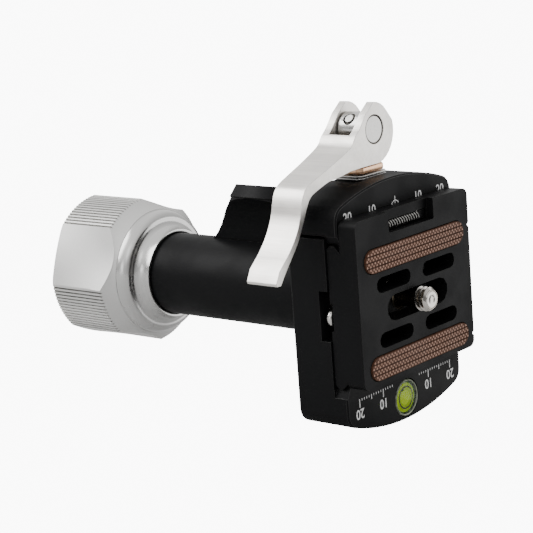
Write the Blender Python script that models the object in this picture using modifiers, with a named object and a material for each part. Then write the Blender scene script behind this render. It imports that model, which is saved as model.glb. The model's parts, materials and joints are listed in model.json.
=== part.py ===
"""Side-mount monopod head: a barrel on a threaded base boss, a tension knob and a lever clamp.

Metres, +Z up along the axis of the base boss, +X along the barrel towards the clamp.
The origin is the centre of the boss's mounting face, so the head lies below it.
Everything that tilts is modelled upright and hangs from an empty turned by CLAMP_TILT_DEG.
"""
import math

import bmesh
import bpy
from mathutils import Matrix, Vector

# Clearances and working values
GAP = 0.0003
SLIDE_GAP = 0.0009
OVERRUN = 0.001
WELD = 0.000001
MERGE = 0.00001
FLAT_ANGLE_DEG = 0.2
SHARP_ANGLE_DEG = 32.0
ROUND_STEPS = 48
SMALL_STEPS = 24
TINY_STEPS = 16

# Pose of the photographed clamp about the barrel, from the boss's axis
CLAMP_TILT_DEG = 13.0

# Barrel and base boss
BARREL_RADIUS = 0.0116
BARREL_BORE_RADIUS = 0.0086
BARREL_FRONT_REACH = 0.02345
BARREL_REAR_REACH = 0.0425
BARREL_END_CHAMFER = 0.0004
BOSS_HEIGHT = 0.0265
BOSS_TOP_RADIUS = 0.0137
BOSS_RIM_RADIUS = 0.0152
BOSS_RIM_DEPTH = 0.0034
BOSS_RIM_STEP = 0.0003
FLARE_RADIUS = 0.0238
FLARE_START_DEG = 15.0
FLARE_END_DEG = 51.5
FLARE_POINTS = 9
SCOOP_RADIUS = 0.0200
SCOOP_SIDE = 0.0223
SCOOP_HEIGHT = 0.00426

# Threaded insert in the boss and the reducer bush in the insert
INSERT_RADIUS = 0.0060
INSERT_LENGTH = 0.0092
INSERT_RECESS = 0.0002
THREE_EIGHTHS_RADIUS = 0.00476
QUARTER_RADIUS = 0.003175
REDUCER_LENGTH = 0.0084
REDUCER_RECESS = 0.0005
COIN_SLOT_WIDTH = 0.0014
COIN_SLOT_DEPTH = 0.0016

# Tilt shaft, its bushes and its friction washer
SHAFT_RADIUS = 0.0060
SPIGOT_RADIUS = 0.0070
SPIGOT_DEPTH = 0.00495
SPIGOT_SHOULDER = 0.0020
THREAD_RADIUS = 0.0050
THREAD_LENGTH = 0.0176
BUSH_LENGTH = 0.0135
WASHER_THICKNESS = 0.0008
WASHER_RIM = 0.0004

# Tension knob
KNOB_LENGTH = 0.0196
KNOB_CREST_RADIUS = 0.0214
KNURL_DEPTH = 0.0005
KNURL_TEETH = 14
KNURL_CREST_SHARE = 0.5
SCALLOP_COUNT = 4
SCALLOP_SPAN_DEG = 50.0
SCALLOP_PHASE_DEG = 159.0
SCALLOP_POINTS = 8
SCALLOP_RADIUS = 0.0181
SCALLOP_RUN_OUT = 0.0019
KNOB_BACK_FILLET = 0.0014
KNOB_CONE_LENGTH = 0.0034
RING_RADIUS = 0.0178
RING_RISE = 0.0035
RING_CREST_RADIUS = 0.0152
COLLAR_WALL = 0.0007
COLLAR_OVERLAP = 0.0051
COLLAR_FILLET_LENGTH = 0.0041
COLLAR_FILLET_RISE = 0.0026
THRUST_THICKNESS = 0.0009
DISC_SPRING_THICKNESS = 0.0005
DISC_SPRING_CONE = 0.0006
DISC_SPRING_RADIUS = 0.0095
NUT_RADIUS = 0.0090
NUT_LENGTH = 0.0125
END_WASHER_RADIUS = 0.0070
END_SCREW_RADIUS = 0.0020
END_SCREW_LENGTH = 0.0085
END_SCREW_HEAD_RADIUS = 0.0036
END_SCREW_HEAD_HEIGHT = 0.0024
END_SCREW_SOCKET_RADIUS = 0.0016
END_CAVITY_RADIUS = 0.0082
CAP_RADIUS = 0.0132
CAP_THICKNESS = 0.0012
CAP_PLUG_LENGTH = 0.0014

# Clamp body and jaws; heights are measured from the barrel's axis
CLAMP_DEPTH = 0.01205
CLAMP_HALF_WIDTH = 0.0249
CLAMP_TOP = 0.0321
CLAMP_BOTTOM = -0.0325
CLAMP_ARC_RADIUS = 0.0670
CLAMP_CORNER_RADIUS = 0.0040
CLAMP_BACK_EDGE = 0.0009
CLAMP_FRONT_EDGE = 0.0004
JAW_BACK_EDGE = 0.0026
JAW_LIP_HEIGHT = 0.0041
JAW_SPLIT_BOTTOM = 0.0203
JAW_SPLIT_TOP = 0.0212
CHANNEL_DEPTH = 0.0028
CHANNEL_TOP = 0.0070
CHANNEL_BOTTOM = -0.0060
LEAD_IN_WIDTH = 0.0024
LEAD_IN_LAND = 0.0003
LEAD_IN_HEIGHT = 0.0036

# Dovetail of the plate, about its own centre line
PLATE_CENTRE = 0.0003
SCREW_HEIGHT = 0.0005
DOVETAIL_HALF_WIDTH = 0.0185
DOVETAIL_UNDERCUT = 0.0019
DOVETAIL_LAND = 0.0011
DOVETAIL_BACK_CHAMFER = 0.0011

# Fasteners and guides in the clamp
BOLT_RADIUS = 0.0030
BOLT_LENGTH = 0.0150
BOLT_HEAD_RADIUS = 0.0050
BOLT_HEAD_HEIGHT = 0.0021
BOLT_SOCKET_RADIUS = 0.0023
BOLT_SOCKET_DEPTH = 0.0012
DRIVE_PIN_RADIUS = 0.0012
DRIVE_PIN_LENGTH = 0.0063
DRIVE_PIN_OFFSET = 0.0049
GUIDE_PIN_RADIUS = 0.0020
GUIDE_PIN_OFFSET = 0.0175
GUIDE_PIN_BOTTOM = 0.0060
GUIDE_PIN_TOP = 0.0272
GUIDE_PIN_SETBACK = 0.00605
SPRING_SEAT_RADIUS = 0.0036
SPRING_SEAT_DEPTH = 0.0073
JAW_SPRING_SEAT_DEPTH = 0.0016
JAW_SPRING_RADIUS = 0.00295
JAW_SPRING_WIRE = 0.0003
JAW_SPRING_CURLS = 6
CURL_POINTS = 9

# Pull rod, its anchor nut and its cross pin
ROD_SETBACK = 0.0106
ROD_RADIUS = 0.0025
ROD_BOTTOM = 0.0092
EYE_RADIUS = 0.0044
EYE_WIDTH = 0.0056
ANCHOR_RADIUS = 0.0040
ANCHOR_HEIGHT = 0.0142
ANCHOR_LENGTH = 0.0092
ANCHOR_RECESS = 0.0004
PIN_RADIUS = 0.0024
PIN_HEAD_RADIUS = 0.0035
PIN_HEAD_HEIGHT = 0.0021
PIN_RECESS = 0.0002
GRUB_RADIUS = 0.0012
GRUB_HOLE_RADIUS = 0.0018
GRUB_LENGTH = 0.0020
GRUB_PROUD = 0.0001
GRUB_ANGLE_DEG = 45.0

# Cam lever, measured from its pin
FORK_WIDTH = 0.0110
STRIP_WIDTH = 0.0095
FORK_SLOT_WIDTH = 0.0066
FORK_SLOT_BACK = 0.0077
CAM_CLOSED_RADIUS = 0.00898
CAM_OPEN_RADIUS = 0.0080
CAM_START_DEG = 20.0
CAM_END_DEG = 100.0
CAM_FLAT_DEPTH = 0.00895
CAM_FLAT_FRONT = 0.0012
EAR_RADIUS = 0.0070
EAR_START_DEG = 126.0
EAR_END_DEG = 178.0
CAM_POINTS = 9
EAR_POINTS = 5
LEVER_REACH = 0.0406
LEVER_DROP = 0.0319
LEVER_SMOOTH_STEPS = 3
# Shares of the reach and of the drop, from the ear down the outer face to the tip
LEVER_OUTER_SHARES = (
    (0.081, -0.136), (0.150, -0.033), (0.205, 0.028), (0.255, 0.100), (0.414, 0.186),
    (0.557, 0.252), (0.670, 0.307), (0.717, 0.360), (0.744, 0.437), (0.768, 0.544),
    (0.813, 0.657), (0.889, 0.776), (0.995, 0.895),
)
# The same shares round the tip's turned-out lip
LEVER_LIP_SHARES = ((1.032, 0.985), (1.026, 1.006))
# The same shares from the tip back along the inner face to the cam's flat
LEVER_INNER_SHARES = (
    (0.990, 1.010), (0.921, 0.900), (0.852, 0.803), (0.793, 0.710), (0.752, 0.620), (0.719, 0.541),
    (0.677, 0.437), (0.640, 0.392), (0.564, 0.354), (0.475, 0.320), (0.367, 0.306), (0.266, 0.285),
)
FLAT_BACK_SHARE = 0.160
TAPER_START_SHARE = 0.250
TAPER_END_SHARE = 0.700

# Cam saddle and the two spring washers under it
SADDLE_WIDTH = 0.0088
SADDLE_LENGTH = 0.0112
SADDLE_HEIGHT = 0.0017
SADDLE_CHAMFER = 0.0013
SEAT_DEPTH = 0.0008
SEAT_WIDTH = 0.0107
SHIM_THICKNESS = 0.0004
SHIM_MARGIN = 0.0004

# Bubble level in the fixed jaw
LEVEL_RADIUS = 0.0049
LEVEL_WALL = 0.0007
LEVEL_HEIGHT = -0.0267
LEVEL_POCKET_DEPTH = 0.0032
LEVEL_PROUD = 0.0001
LEVEL_LENS_THICKNESS = 0.0007
LEVEL_LIQUID_THICKNESS = 0.0018

# Quick-release plate
PLATE_HALF_LENGTH = 0.0244
PLATE_FLANGE_DEPTH = 0.0052
PLATE_TOP = 0.0251
PLATE_BOTTOM = -0.0180
PLATE_CORNER = 0.0020
PLATE_PATTERN_SLOT_LENGTH = 0.0144
PLATE_PATTERN_SLOT_WIDTH = 0.0040
PLATE_SLOT_SPACING = 0.0098
PLATE_SLOT_RISE = 0.0071
SCREW_SLOT_LENGTH = 0.0264
SCREW_SLOT_WIDTH = 0.0068
SCREW_POCKET_HALF_LENGTH = 0.0162
SCREW_POCKET_HALF_WIDTH = 0.0072
SCREW_POCKET_DEPTH = 0.0036
BACK_GROOVE_HALF_WIDTH = 0.0036
BACK_GROOVE_DEPTH = 0.0007
PAD_LENGTH = 0.0427
PAD_WIDTH = 0.0060
PAD_RISE = 0.01375
PAD_THICKNESS = 0.0012
PAD_PROUD = 0.0004
EDGE_NICK_HEIGHT = 0.01485
EDGE_NICK_SIZE = 0.0007

# Plate's catch pocket, spring and slider
RECESS_LEFT = -0.0106
RECESS_RIGHT = 0.0088
RECESS_BOTTOM = 0.01975
RECESS_DEPTH = 0.0020
WINDOW_LEFT = -0.0098
WINDOW_RIGHT = 0.0083
WINDOW_HEIGHT = 0.0028
WINDOW_DEPTH = 0.0022
CATCH_LENGTH = 0.0024
CATCH_SPRING_RADIUS = 0.00092
CATCH_SPRING_WIRE = 0.00024
CATCH_SPRING_CURLS = 14

# Camera screw, its washer and its folding ring
SCREW_REST = 0.0005
SCREW_PROUD = 0.0040
SCREW_TIP_CHAMFER = 0.0008
SCREW_NECK_RADIUS = 0.0024
SCREW_HEAD_RADIUS = 0.0065
SCREW_HEAD_HEIGHT = 0.0012
SCREW_WASHER_THICKNESS = 0.0004
SCREW_WASHER_RADIUS = 0.0060
FOLD_RING_RADIUS = 0.0050
FOLD_RING_WIRE = 0.0003
FOLD_RING_POINTS = 14
FOLD_RING_INSET = 0.0004

# Stop screws on the plate's back
STOP_OFFSET = 0.0216
STOP_HEAD_RADIUS = 0.0026
STOP_HEAD_HEIGHT = 0.0028
STOP_HEAD_ROUND = 0.0012
STOP_HEAD_POINTS = 4
STOP_DROP = 0.0007
STOP_SHANK_RADIUS = 0.0013
STOP_SHANK_LENGTH = 0.0040

# Stations along X that several pieces share
FRICTION_WASHER_X = BARREL_FRONT_REACH + GAP
CLAMP_BACK_X = FRICTION_WASHER_X + WASHER_THICKNESS + GAP
CLAMP_FLOOR_X = CLAMP_BACK_X + CLAMP_DEPTH
JAW_FACE_X = CLAMP_FLOOR_X + JAW_LIP_HEIGHT
CHANNEL_X = CLAMP_FLOOR_X - CHANNEL_DEPTH
SPIGOT_FRONT_X = CLAMP_BACK_X + SPIGOT_DEPTH
PLATE_BACK_X = CLAMP_FLOOR_X + GAP
FLANGE_BACK_X = JAW_FACE_X + GAP
PLATE_FRONT_X = FLANGE_BACK_X + PLATE_FLANGE_DEPTH
GUIDE_PIN_X = CLAMP_FLOOR_X - GUIDE_PIN_SETBACK
ROD_X = JAW_FACE_X - ROD_SETBACK
SHAFT_REAR_X = -BARREL_REAR_REACH - THREAD_LENGTH
THRUST_X = -BARREL_REAR_REACH - GAP - THRUST_THICKNESS
SPRING_STACK_X = THRUST_X - GAP
NUT_FRONT_X = SPRING_STACK_X - 2 * (DISC_SPRING_THICKNESS + DISC_SPRING_CONE) - 2 * GAP
COLLAR_X = COLLAR_OVERLAP - BARREL_REAR_REACH
RING_EDGE_X = COLLAR_X - COLLAR_FILLET_LENGTH - RING_RISE
KNOB_REAR_X = RING_EDGE_X - KNOB_CONE_LENGTH - KNOB_LENGTH
SCREW_HEAD_X = PLATE_BACK_X + SCREW_POCKET_DEPTH - 2 * GAP - SCREW_WASHER_THICKNESS
SEAT_HEIGHT = CLAMP_TOP - SEAT_DEPTH
SADDLE_TOP = SEAT_HEIGHT + 3 * GAP + 2 * SHIM_THICKNESS + SADDLE_HEIGHT
PIN_HEIGHT = SADDLE_TOP + GAP + CAM_FLAT_DEPTH
CATCH_HEIGHT = RECESS_BOTTOM + WINDOW_HEIGHT / 2
CATCH_X = PLATE_FRONT_X - RECESS_DEPTH - WINDOW_DEPTH / 2

parts = bpy.data.collections.new("monopod_head")


def start_scene():
    """Clear the scene's objects and link the collection that holds the parts."""
    for obj in list(bpy.data.objects):
        bpy.data.objects.remove(obj, do_unlink=True)
    bpy.context.scene.collection.children.link(parts)


def material(name, colour, roughness, metallic):
    """Make one Principled material."""
    mat = bpy.data.materials.new(name)
    mat.use_nodes = True
    shader = mat.node_tree.nodes["Principled BSDF"]
    shader.inputs["Base Color"].default_value = (*colour, 1.0)
    shader.inputs["Roughness"].default_value = roughness
    shader.inputs["Metallic"].default_value = metallic
    mat.diffuse_color = (*colour, 1.0)
    return mat


def make_materials():
    """The finishes, by name."""
    return {
        "black": material("black_anodised", (0.018, 0.018, 0.020), 0.38, 0.6),
        "silver": material("satin_aluminium", (0.66, 0.65, 0.63), 0.34, 1.0),
        "steel": material("brushed_steel", (0.60, 0.59, 0.57), 0.28, 1.0),
        "copper": material("copper_bronze", (0.72, 0.36, 0.20), 0.32, 1.0),
        "bush": material("bronze_bush", (0.45, 0.29, 0.13), 0.45, 1.0),
        "polymer": material("acetal_white", (0.70, 0.69, 0.65), 0.5, 0.0),
        "rubber": material("brown_rubber", (0.16, 0.085, 0.06), 0.8, 0.0),
        "clear": material("clear_acrylic", (0.80, 0.84, 0.80), 0.1, 0.0),
        "liquid": material("green_liquid", (0.55, 0.85, 0.05), 0.15, 0.0),
        "dark": material("black_oxide", (0.03, 0.03, 0.03), 0.45, 0.8),
    }


def new_object(name, mesh):
    """Wrap a mesh in an object of the parts collection."""
    obj = bpy.data.objects.new(name, mesh)
    parts.objects.link(obj)
    return obj


def apply_modifiers(obj):
    """Replace an object's mesh by its evaluated one and drop the modifiers."""
    graph = bpy.context.evaluated_depsgraph_get()
    mesh = bpy.data.meshes.new_from_object(obj.evaluated_get(graph))
    old = obj.data
    obj.modifiers.clear()
    obj.data = mesh
    mesh.name = obj.name
    bpy.data.meshes.remove(old)
    return obj


def shape(name, build):
    """An object whose mesh is built in a bmesh by the given function."""
    bm = bmesh.new()
    build(bm)
    mesh = bpy.data.meshes.new(name)
    bm.to_mesh(mesh)
    bm.free()
    return new_object(name, mesh)


def block(name, low, high):
    """A box between two corners."""
    low, high = Vector(low), Vector(high)
    size = high - low
    place = Matrix.Translation((low + high) / 2) @ Matrix.Diagonal((*size, 1.0))
    return shape(name, lambda bm: bmesh.ops.create_cube(bm, size=1.0, matrix=place))


def turn_to(axis):
    """Rotation that takes local Z to the named axis."""
    if axis == "X":
        return Matrix.Rotation(math.pi / 2, 4, "Y")
    if axis == "Y":
        return Matrix.Rotation(-math.pi / 2, 4, "X")
    return Matrix.Identity(4)


def rod(name, radius, start, length, axis, steps=SMALL_STEPS):
    """A round bar from a start point along an axis."""
    turn = turn_to(axis)
    middle = Vector(start) + turn @ Vector((0, 0, length / 2))
    place = Matrix.Translation(middle) @ turn

    def build(bm):
        bmesh.ops.create_cone(bm, cap_ends=True, segments=steps, radius1=radius, radius2=radius,
                              depth=length, matrix=place)
    return shape(name, build)


def turned(name, profile, axis="X", steps=ROUND_STEPS, closed=False, place=(0, 0, 0)):
    """A profile of (radius, station) points, screwed round an axis; outer stations fall."""
    count = len(profile)
    edges = [(i, i + 1) for i in range(count - 1)]
    if closed:
        edges.append((count - 1, 0))
    mesh = bpy.data.meshes.new(name)
    mesh.from_pydata([(radius, 0, station) for radius, station in profile], edges, [])
    obj = new_object(name, mesh)
    screw = obj.modifiers.new("Turn", "SCREW")
    screw.steps = steps
    screw.render_steps = steps
    screw.use_merge_vertices = True
    screw.merge_threshold = MERGE
    apply_modifiers(obj)
    obj.data.transform(Matrix.Translation(place) @ turn_to(axis))
    return obj


def prism(name, outline, start, end, axis):
    """A flat outline extruded along X (outline in Y, Z), along Y (in X, Z) or along Z (in X, Y)."""
    curve = bpy.data.curves.new(name, "CURVE")
    curve.dimensions = "2D"
    curve.fill_mode = "BOTH"
    curve.extrude = (end - start) / 2
    spline = curve.splines.new("POLY")
    spline.points.add(len(outline) - 1)
    for point, (across, up) in zip(spline.points, outline):
        point.co = (across, up, 0, 1)
    spline.use_cyclic_u = True
    guide = bpy.data.objects.new(name, curve)
    parts.objects.link(guide)
    graph = bpy.context.evaluated_depsgraph_get()
    mesh = bpy.data.meshes.new_from_object(guide.evaluated_get(graph))
    bpy.data.objects.remove(guide)
    bm = bmesh.new()
    bm.from_mesh(mesh)
    bmesh.ops.remove_doubles(bm, verts=bm.verts, dist=WELD)
    bmesh.ops.recalc_face_normals(bm, faces=bm.faces)
    bmesh.ops.dissolve_limit(bm, angle_limit=math.radians(FLAT_ANGLE_DEG), verts=bm.verts, edges=bm.edges)
    bm.to_mesh(mesh)
    bm.free()
    middle = (start + end) / 2
    if axis == "X":
        turn = Matrix(((0, 0, 1, middle), (1, 0, 0, 0), (0, 1, 0, 0), (0, 0, 0, 1)))
    elif axis == "Y":
        turn = Matrix(((1, 0, 0, 0), (0, 0, -1, middle), (0, 1, 0, 0), (0, 0, 0, 1)))
    else:
        turn = Matrix.Translation((0, 0, middle))
    mesh.transform(turn)
    mesh.name = name
    return new_object(name, mesh)


def round_edges(obj, wanted, width, segments):
    """Bevel the edges that the given test picks."""
    bm = bmesh.new()
    bm.from_mesh(obj.data)
    edges = [edge for edge in bm.edges if wanted(*(vert.co for vert in edge.verts))]
    bmesh.ops.bevel(bm, geom=edges, offset=width, segments=segments, profile=0.5, affect="EDGES")
    bm.to_mesh(obj.data)
    bm.free()
    return obj


def combine(target, tool, operation):
    """Cut, join or intersect two solids; the tool is used up."""
    boolean = target.modifiers.new(operation.title(), "BOOLEAN")
    boolean.operation = operation
    boolean.solver = "EXACT"
    boolean.object = tool
    apply_modifiers(target)
    bpy.data.objects.remove(tool)
    return target


def cut(target, *tools):
    """Take each tool's shape out of the target."""
    for tool in tools:
        combine(target, tool, "DIFFERENCE")
    return target


def arc(centre, radius, start_deg, end_deg, count):
    """Points on an arc, both ends included."""
    angles = [math.radians(start_deg + (end_deg - start_deg) * i / (count - 1)) for i in range(count)]
    return [(centre[0] + radius * math.cos(a), centre[1] + radius * math.sin(a)) for a in angles]


def smooth_line(points, steps):
    """Points of a Catmull-Rom curve through the given points."""
    line = []
    ends = [points[0]] + list(points) + [points[-1]]
    for i in range(1, len(ends) - 2):
        p0, p1, p2, p3 = (Vector(ends[i + k]) for k in (-1, 0, 1, 2))
        for step in range(steps):
            t = step / steps
            place = 0.5 * (2 * p1 + (p2 - p0) * t + (2 * p0 - 5 * p1 + 4 * p2 - p3) * t ** 2
                           + (3 * p1 - p0 - 3 * p2 + p3) * t ** 3)
            line.append(tuple(place))
    line.append(tuple(points[-1]))
    return line


def slot_outline(length, width, centre, steps=6):
    """Outline of an oblong with round ends, long side across."""
    half = length / 2 - width / 2
    right = arc((centre[0] + half, centre[1]), width / 2, -90, 90, steps)
    left = arc((centre[0] - half, centre[1]), width / 2, 90, 270, steps)
    return right + left


def finish(obj, mat, pivot):
    """Give a solid its finish, smooth round faces and its parent empty."""
    obj.data.materials.clear()
    obj.data.materials.append(mat)
    obj.data.shade_smooth()
    obj.data.set_sharp_from_angle(angle=math.radians(SHARP_ANGLE_DEG))
    obj.parent = pivot
    obj.location = -Vector(pivot["at"])
    return obj


def pivot_empty(name, parent, at):
    """An empty on a joint's axis, at a place in the upright clamp's own coordinates."""
    empty = bpy.data.objects.new(name, None)
    parts.objects.link(empty)
    empty["at"] = at
    empty.parent = parent
    empty.location = Vector(at) - Vector(parent["at"]) if parent else at
    return empty


def least_self_gap(points, radius, skip):
    """Smallest clear distance between stretches of a tube that aren't neighbours."""
    pairs = [(points[i], points[j]) for i in range(len(points)) for j in range(i + skip, len(points))]
    return min((a - b).length for a, b in pairs) - 2 * radius


def coil(name, coil_radius, wire_radius, start, length, curls, axis):
    """A compression spring as one tube, its ends straight for one wire diameter."""
    turn = Matrix.Translation(start) @ turn_to(axis)
    lead = 2 * wire_radius
    count = curls * CURL_POINTS
    path = [Vector((coil_radius, 0, 0))]
    for i in range(count + 1):
        angle = 2 * math.pi * i / CURL_POINTS
        rise = lead + (length - 2 * lead) * i / count
        path.append(Vector((coil_radius * math.cos(angle), coil_radius * math.sin(angle), rise)))
    path.append(Vector((coil_radius, 0, length)))
    gap = least_self_gap(path, wire_radius, CURL_POINTS - 2)
    print(f"{name}: least gap between curls {gap * 1000:.2f} mm")
    curve = bpy.data.curves.new(name, "CURVE")
    curve.dimensions = "3D"
    curve.bevel_depth = wire_radius
    curve.bevel_resolution = 1
    curve.use_fill_caps = True
    spline = curve.splines.new("POLY")
    spline.points.add(len(path) - 1)
    for point, place in zip(spline.points, path):
        point.co = (*(turn @ place), 1)
    return mesh_of_curve(name, curve)


def mesh_of_curve(name, curve):
    """The closed mesh of a bevelled curve, its caps welded."""
    guide = bpy.data.objects.new(name, curve)
    parts.objects.link(guide)
    graph = bpy.context.evaluated_depsgraph_get()
    mesh = bpy.data.meshes.new_from_object(guide.evaluated_get(graph))
    bpy.data.objects.remove(guide)
    bm = bmesh.new()
    bm.from_mesh(mesh)
    bmesh.ops.remove_doubles(bm, verts=bm.verts, dist=WELD)
    bmesh.ops.recalc_face_normals(bm, faces=bm.faces)
    bm.to_mesh(mesh)
    bm.free()
    mesh.name = name
    return new_object(name, mesh)


def ring_profile(inner, outer, low, high):
    """Closed profile of a plain ring between two stations."""
    return [(inner, high), (outer, high), (outer, low), (inner, low)]


def screw_profile(shank_radius, shank_end, head_radius, head_start, head_end):
    """Profile of a headed screw whose head is at the higher stations."""
    return [(0, head_end), (head_radius, head_end), (head_radius, head_start),
            (shank_radius, head_start), (shank_radius, shank_end), (0, shank_end)]


# Housing

def flare_profile():
    """The concave side of the boss, from under the rim to the foot."""
    start = (BOSS_RIM_RADIUS - BOSS_RIM_STEP, BOSS_HEIGHT - BOSS_RIM_DEPTH - BOSS_RIM_STEP)
    lean = math.radians(FLARE_START_DEG)
    centre = (start[0] + FLARE_RADIUS * math.cos(lean), start[1] + FLARE_RADIUS * math.sin(lean))
    return arc(centre, FLARE_RADIUS, 180 + FLARE_START_DEG, 180 + FLARE_END_DEG, FLARE_POINTS)


def make_housing(mats, pivot):
    """Barrel and base boss in one piece, with the shaft's bore and the insert's pocket."""
    flare = flare_profile()
    foot = flare[-1][0]
    core = BARREL_RADIUS / 2
    boss = turned("housing", [(0, BOSS_HEIGHT), (BOSS_TOP_RADIUS, BOSS_HEIGHT),
                              (BOSS_RIM_RADIUS, BOSS_HEIGHT - BOSS_RIM_DEPTH)] + flare
                  + [(foot, core), (0, core)], axis="Z")
    for side in (-1, 1):
        scoop = rod("scoop", SCOOP_RADIUS, (-2 * foot, side * SCOOP_SIDE, SCOOP_HEIGHT), 4 * foot, "X",
                    steps=2 * ROUND_STEPS)
        cut(boss, scoop)
    edge = BARREL_RADIUS - BARREL_END_CHAMFER
    barrel = turned("barrel", [(0, BARREL_FRONT_REACH), (edge, BARREL_FRONT_REACH),
                               (BARREL_RADIUS, BARREL_FRONT_REACH - BARREL_END_CHAMFER),
                               (BARREL_RADIUS, BARREL_END_CHAMFER - BARREL_REAR_REACH),
                               (edge, -BARREL_REAR_REACH), (0, -BARREL_REAR_REACH)])
    combine(boss, barrel, "UNION")
    bore_start = (-BARREL_REAR_REACH - OVERRUN, 0, 0)
    bore_length = BARREL_REAR_REACH + BARREL_FRONT_REACH + 2 * OVERRUN
    pocket_depth = INSERT_RECESS + INSERT_LENGTH + GAP
    cut(boss, rod("bore", BARREL_BORE_RADIUS, bore_start, bore_length, "X", steps=ROUND_STEPS),
        rod("pocket", INSERT_RADIUS + GAP, (0, 0, BOSS_HEIGHT - pocket_depth), pocket_depth + OVERRUN, "Z"))
    return finish(boss, mats["black"], pivot)


def make_base_insert(mats, pivot):
    """Steel insert with the 3/8 inch thread that a monopod's stud enters."""
    top = BOSS_HEIGHT - INSERT_RECESS
    obj = turned("base_insert", ring_profile(THREE_EIGHTHS_RADIUS, INSERT_RADIUS, top - INSERT_LENGTH, top),
                 axis="Z", steps=SMALL_STEPS, closed=True)
    return finish(obj, mats["steel"], pivot)


def make_base_reducer(mats, pivot):
    """Bush that brings the 3/8 inch thread down to 1/4 inch, with a coin slot."""
    top = BOSS_HEIGHT - REDUCER_RECESS
    outer = THREE_EIGHTHS_RADIUS - GAP
    obj = turned("base_reducer", ring_profile(QUARTER_RADIUS, outer, top - REDUCER_LENGTH, top),
                 axis="Z", steps=SMALL_STEPS, closed=True)
    half = COIN_SLOT_WIDTH / 2
    cut(obj, block("coin_slot", (-outer - OVERRUN, -half, top - COIN_SLOT_DEPTH),
                   (outer + OVERRUN, half, top + OVERRUN)))
    return finish(obj, mats["steel"], pivot)


def make_bushes(mats, pivot):
    """The two sleeves that the tilt shaft turns in."""
    inner = SHAFT_RADIUS + GAP
    outer = BARREL_BORE_RADIUS - GAP
    front_end = BARREL_FRONT_REACH - SPIGOT_SHOULDER
    for name, low in (("front_bush", front_end - BUSH_LENGTH), ("rear_bush", -BARREL_REAR_REACH)):
        sleeve = ring_profile(inner, outer, low, low + BUSH_LENGTH)
        obj = turned(name, sleeve, steps=SMALL_STEPS, closed=True)
        finish(obj, mats["bush"], pivot)


def make_friction_washer(mats, pivot):
    """Washer between the barrel's front end and the clamp's back."""
    obj = turned("friction_washer", ring_profile(SPIGOT_RADIUS + GAP, BARREL_RADIUS - WASHER_RIM,
                                                 FRICTION_WASHER_X, FRICTION_WASHER_X + WASHER_THICKNESS),
                 closed=True)
    return finish(obj, mats["polymer"], pivot)


# Tilt shaft and what is on its rear end

def make_tilt_shaft(mats, pivot):
    """Steel shaft from the clamp's pocket to the knob's thread."""
    spigot_rear = BARREL_FRONT_REACH - SPIGOT_SHOULDER + GAP
    profile = [(0, SPIGOT_FRONT_X), (SPIGOT_RADIUS, SPIGOT_FRONT_X), (SPIGOT_RADIUS, spigot_rear),
               (SHAFT_RADIUS, spigot_rear), (SHAFT_RADIUS, -BARREL_REAR_REACH),
               (THREAD_RADIUS, -BARREL_REAR_REACH), (THREAD_RADIUS, SHAFT_REAR_X), (0, SHAFT_REAR_X)]
    obj = turned("tilt_shaft", profile, steps=SMALL_STEPS)
    bolt_end = CHANNEL_X + GAP - BOLT_LENGTH
    bolt_hole = rod("bolt_hole", BOLT_RADIUS + GAP, (bolt_end - GAP, 0, 0),
                    SPIGOT_FRONT_X - bolt_end + GAP + OVERRUN, "X", TINY_STEPS)
    end_hole = rod("end_hole", END_SCREW_RADIUS + GAP, (SHAFT_REAR_X - OVERRUN, 0, 0),
                   END_SCREW_LENGTH + OVERRUN, "X", TINY_STEPS)
    cut(obj, bolt_hole, end_hole)
    depth = DRIVE_PIN_LENGTH / 2 + GAP
    for side in (-1, 1):
        start = (SPIGOT_FRONT_X - depth, side * DRIVE_PIN_OFFSET, 0)
        cut(obj, rod("pin_hole", DRIVE_PIN_RADIUS + GAP, start, depth + OVERRUN, "X", TINY_STEPS))
    return finish(obj, mats["steel"], pivot)


def make_drive_pins(mats, pivot):
    """Two dowels that stop the shaft from turning in the clamp."""
    start = SPIGOT_FRONT_X - DRIVE_PIN_LENGTH / 2
    for name, side in (("drive_pin_left", -1), ("drive_pin_right", 1)):
        place = (start, side * DRIVE_PIN_OFFSET, 0)
        obj = rod(name, DRIVE_PIN_RADIUS, place, DRIVE_PIN_LENGTH, "X", TINY_STEPS)
        finish(obj, mats["steel"], pivot)


def make_clamp_bolt(mats, pivot):
    """Socket screw that pulls the shaft into the clamp, its head in the floor channel."""
    head_start = CHANNEL_X + GAP
    head_end = head_start + BOLT_HEAD_HEIGHT
    obj = turned("clamp_bolt", screw_profile(BOLT_RADIUS, head_start - BOLT_LENGTH, BOLT_HEAD_RADIUS,
                                             head_start, head_end), steps=SMALL_STEPS)
    cut(obj, rod("socket", BOLT_SOCKET_RADIUS, (head_end - BOLT_SOCKET_DEPTH, 0, 0),
                 BOLT_SOCKET_DEPTH + OVERRUN, "X", steps=6))
    return finish(obj, mats["dark"], pivot)


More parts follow.
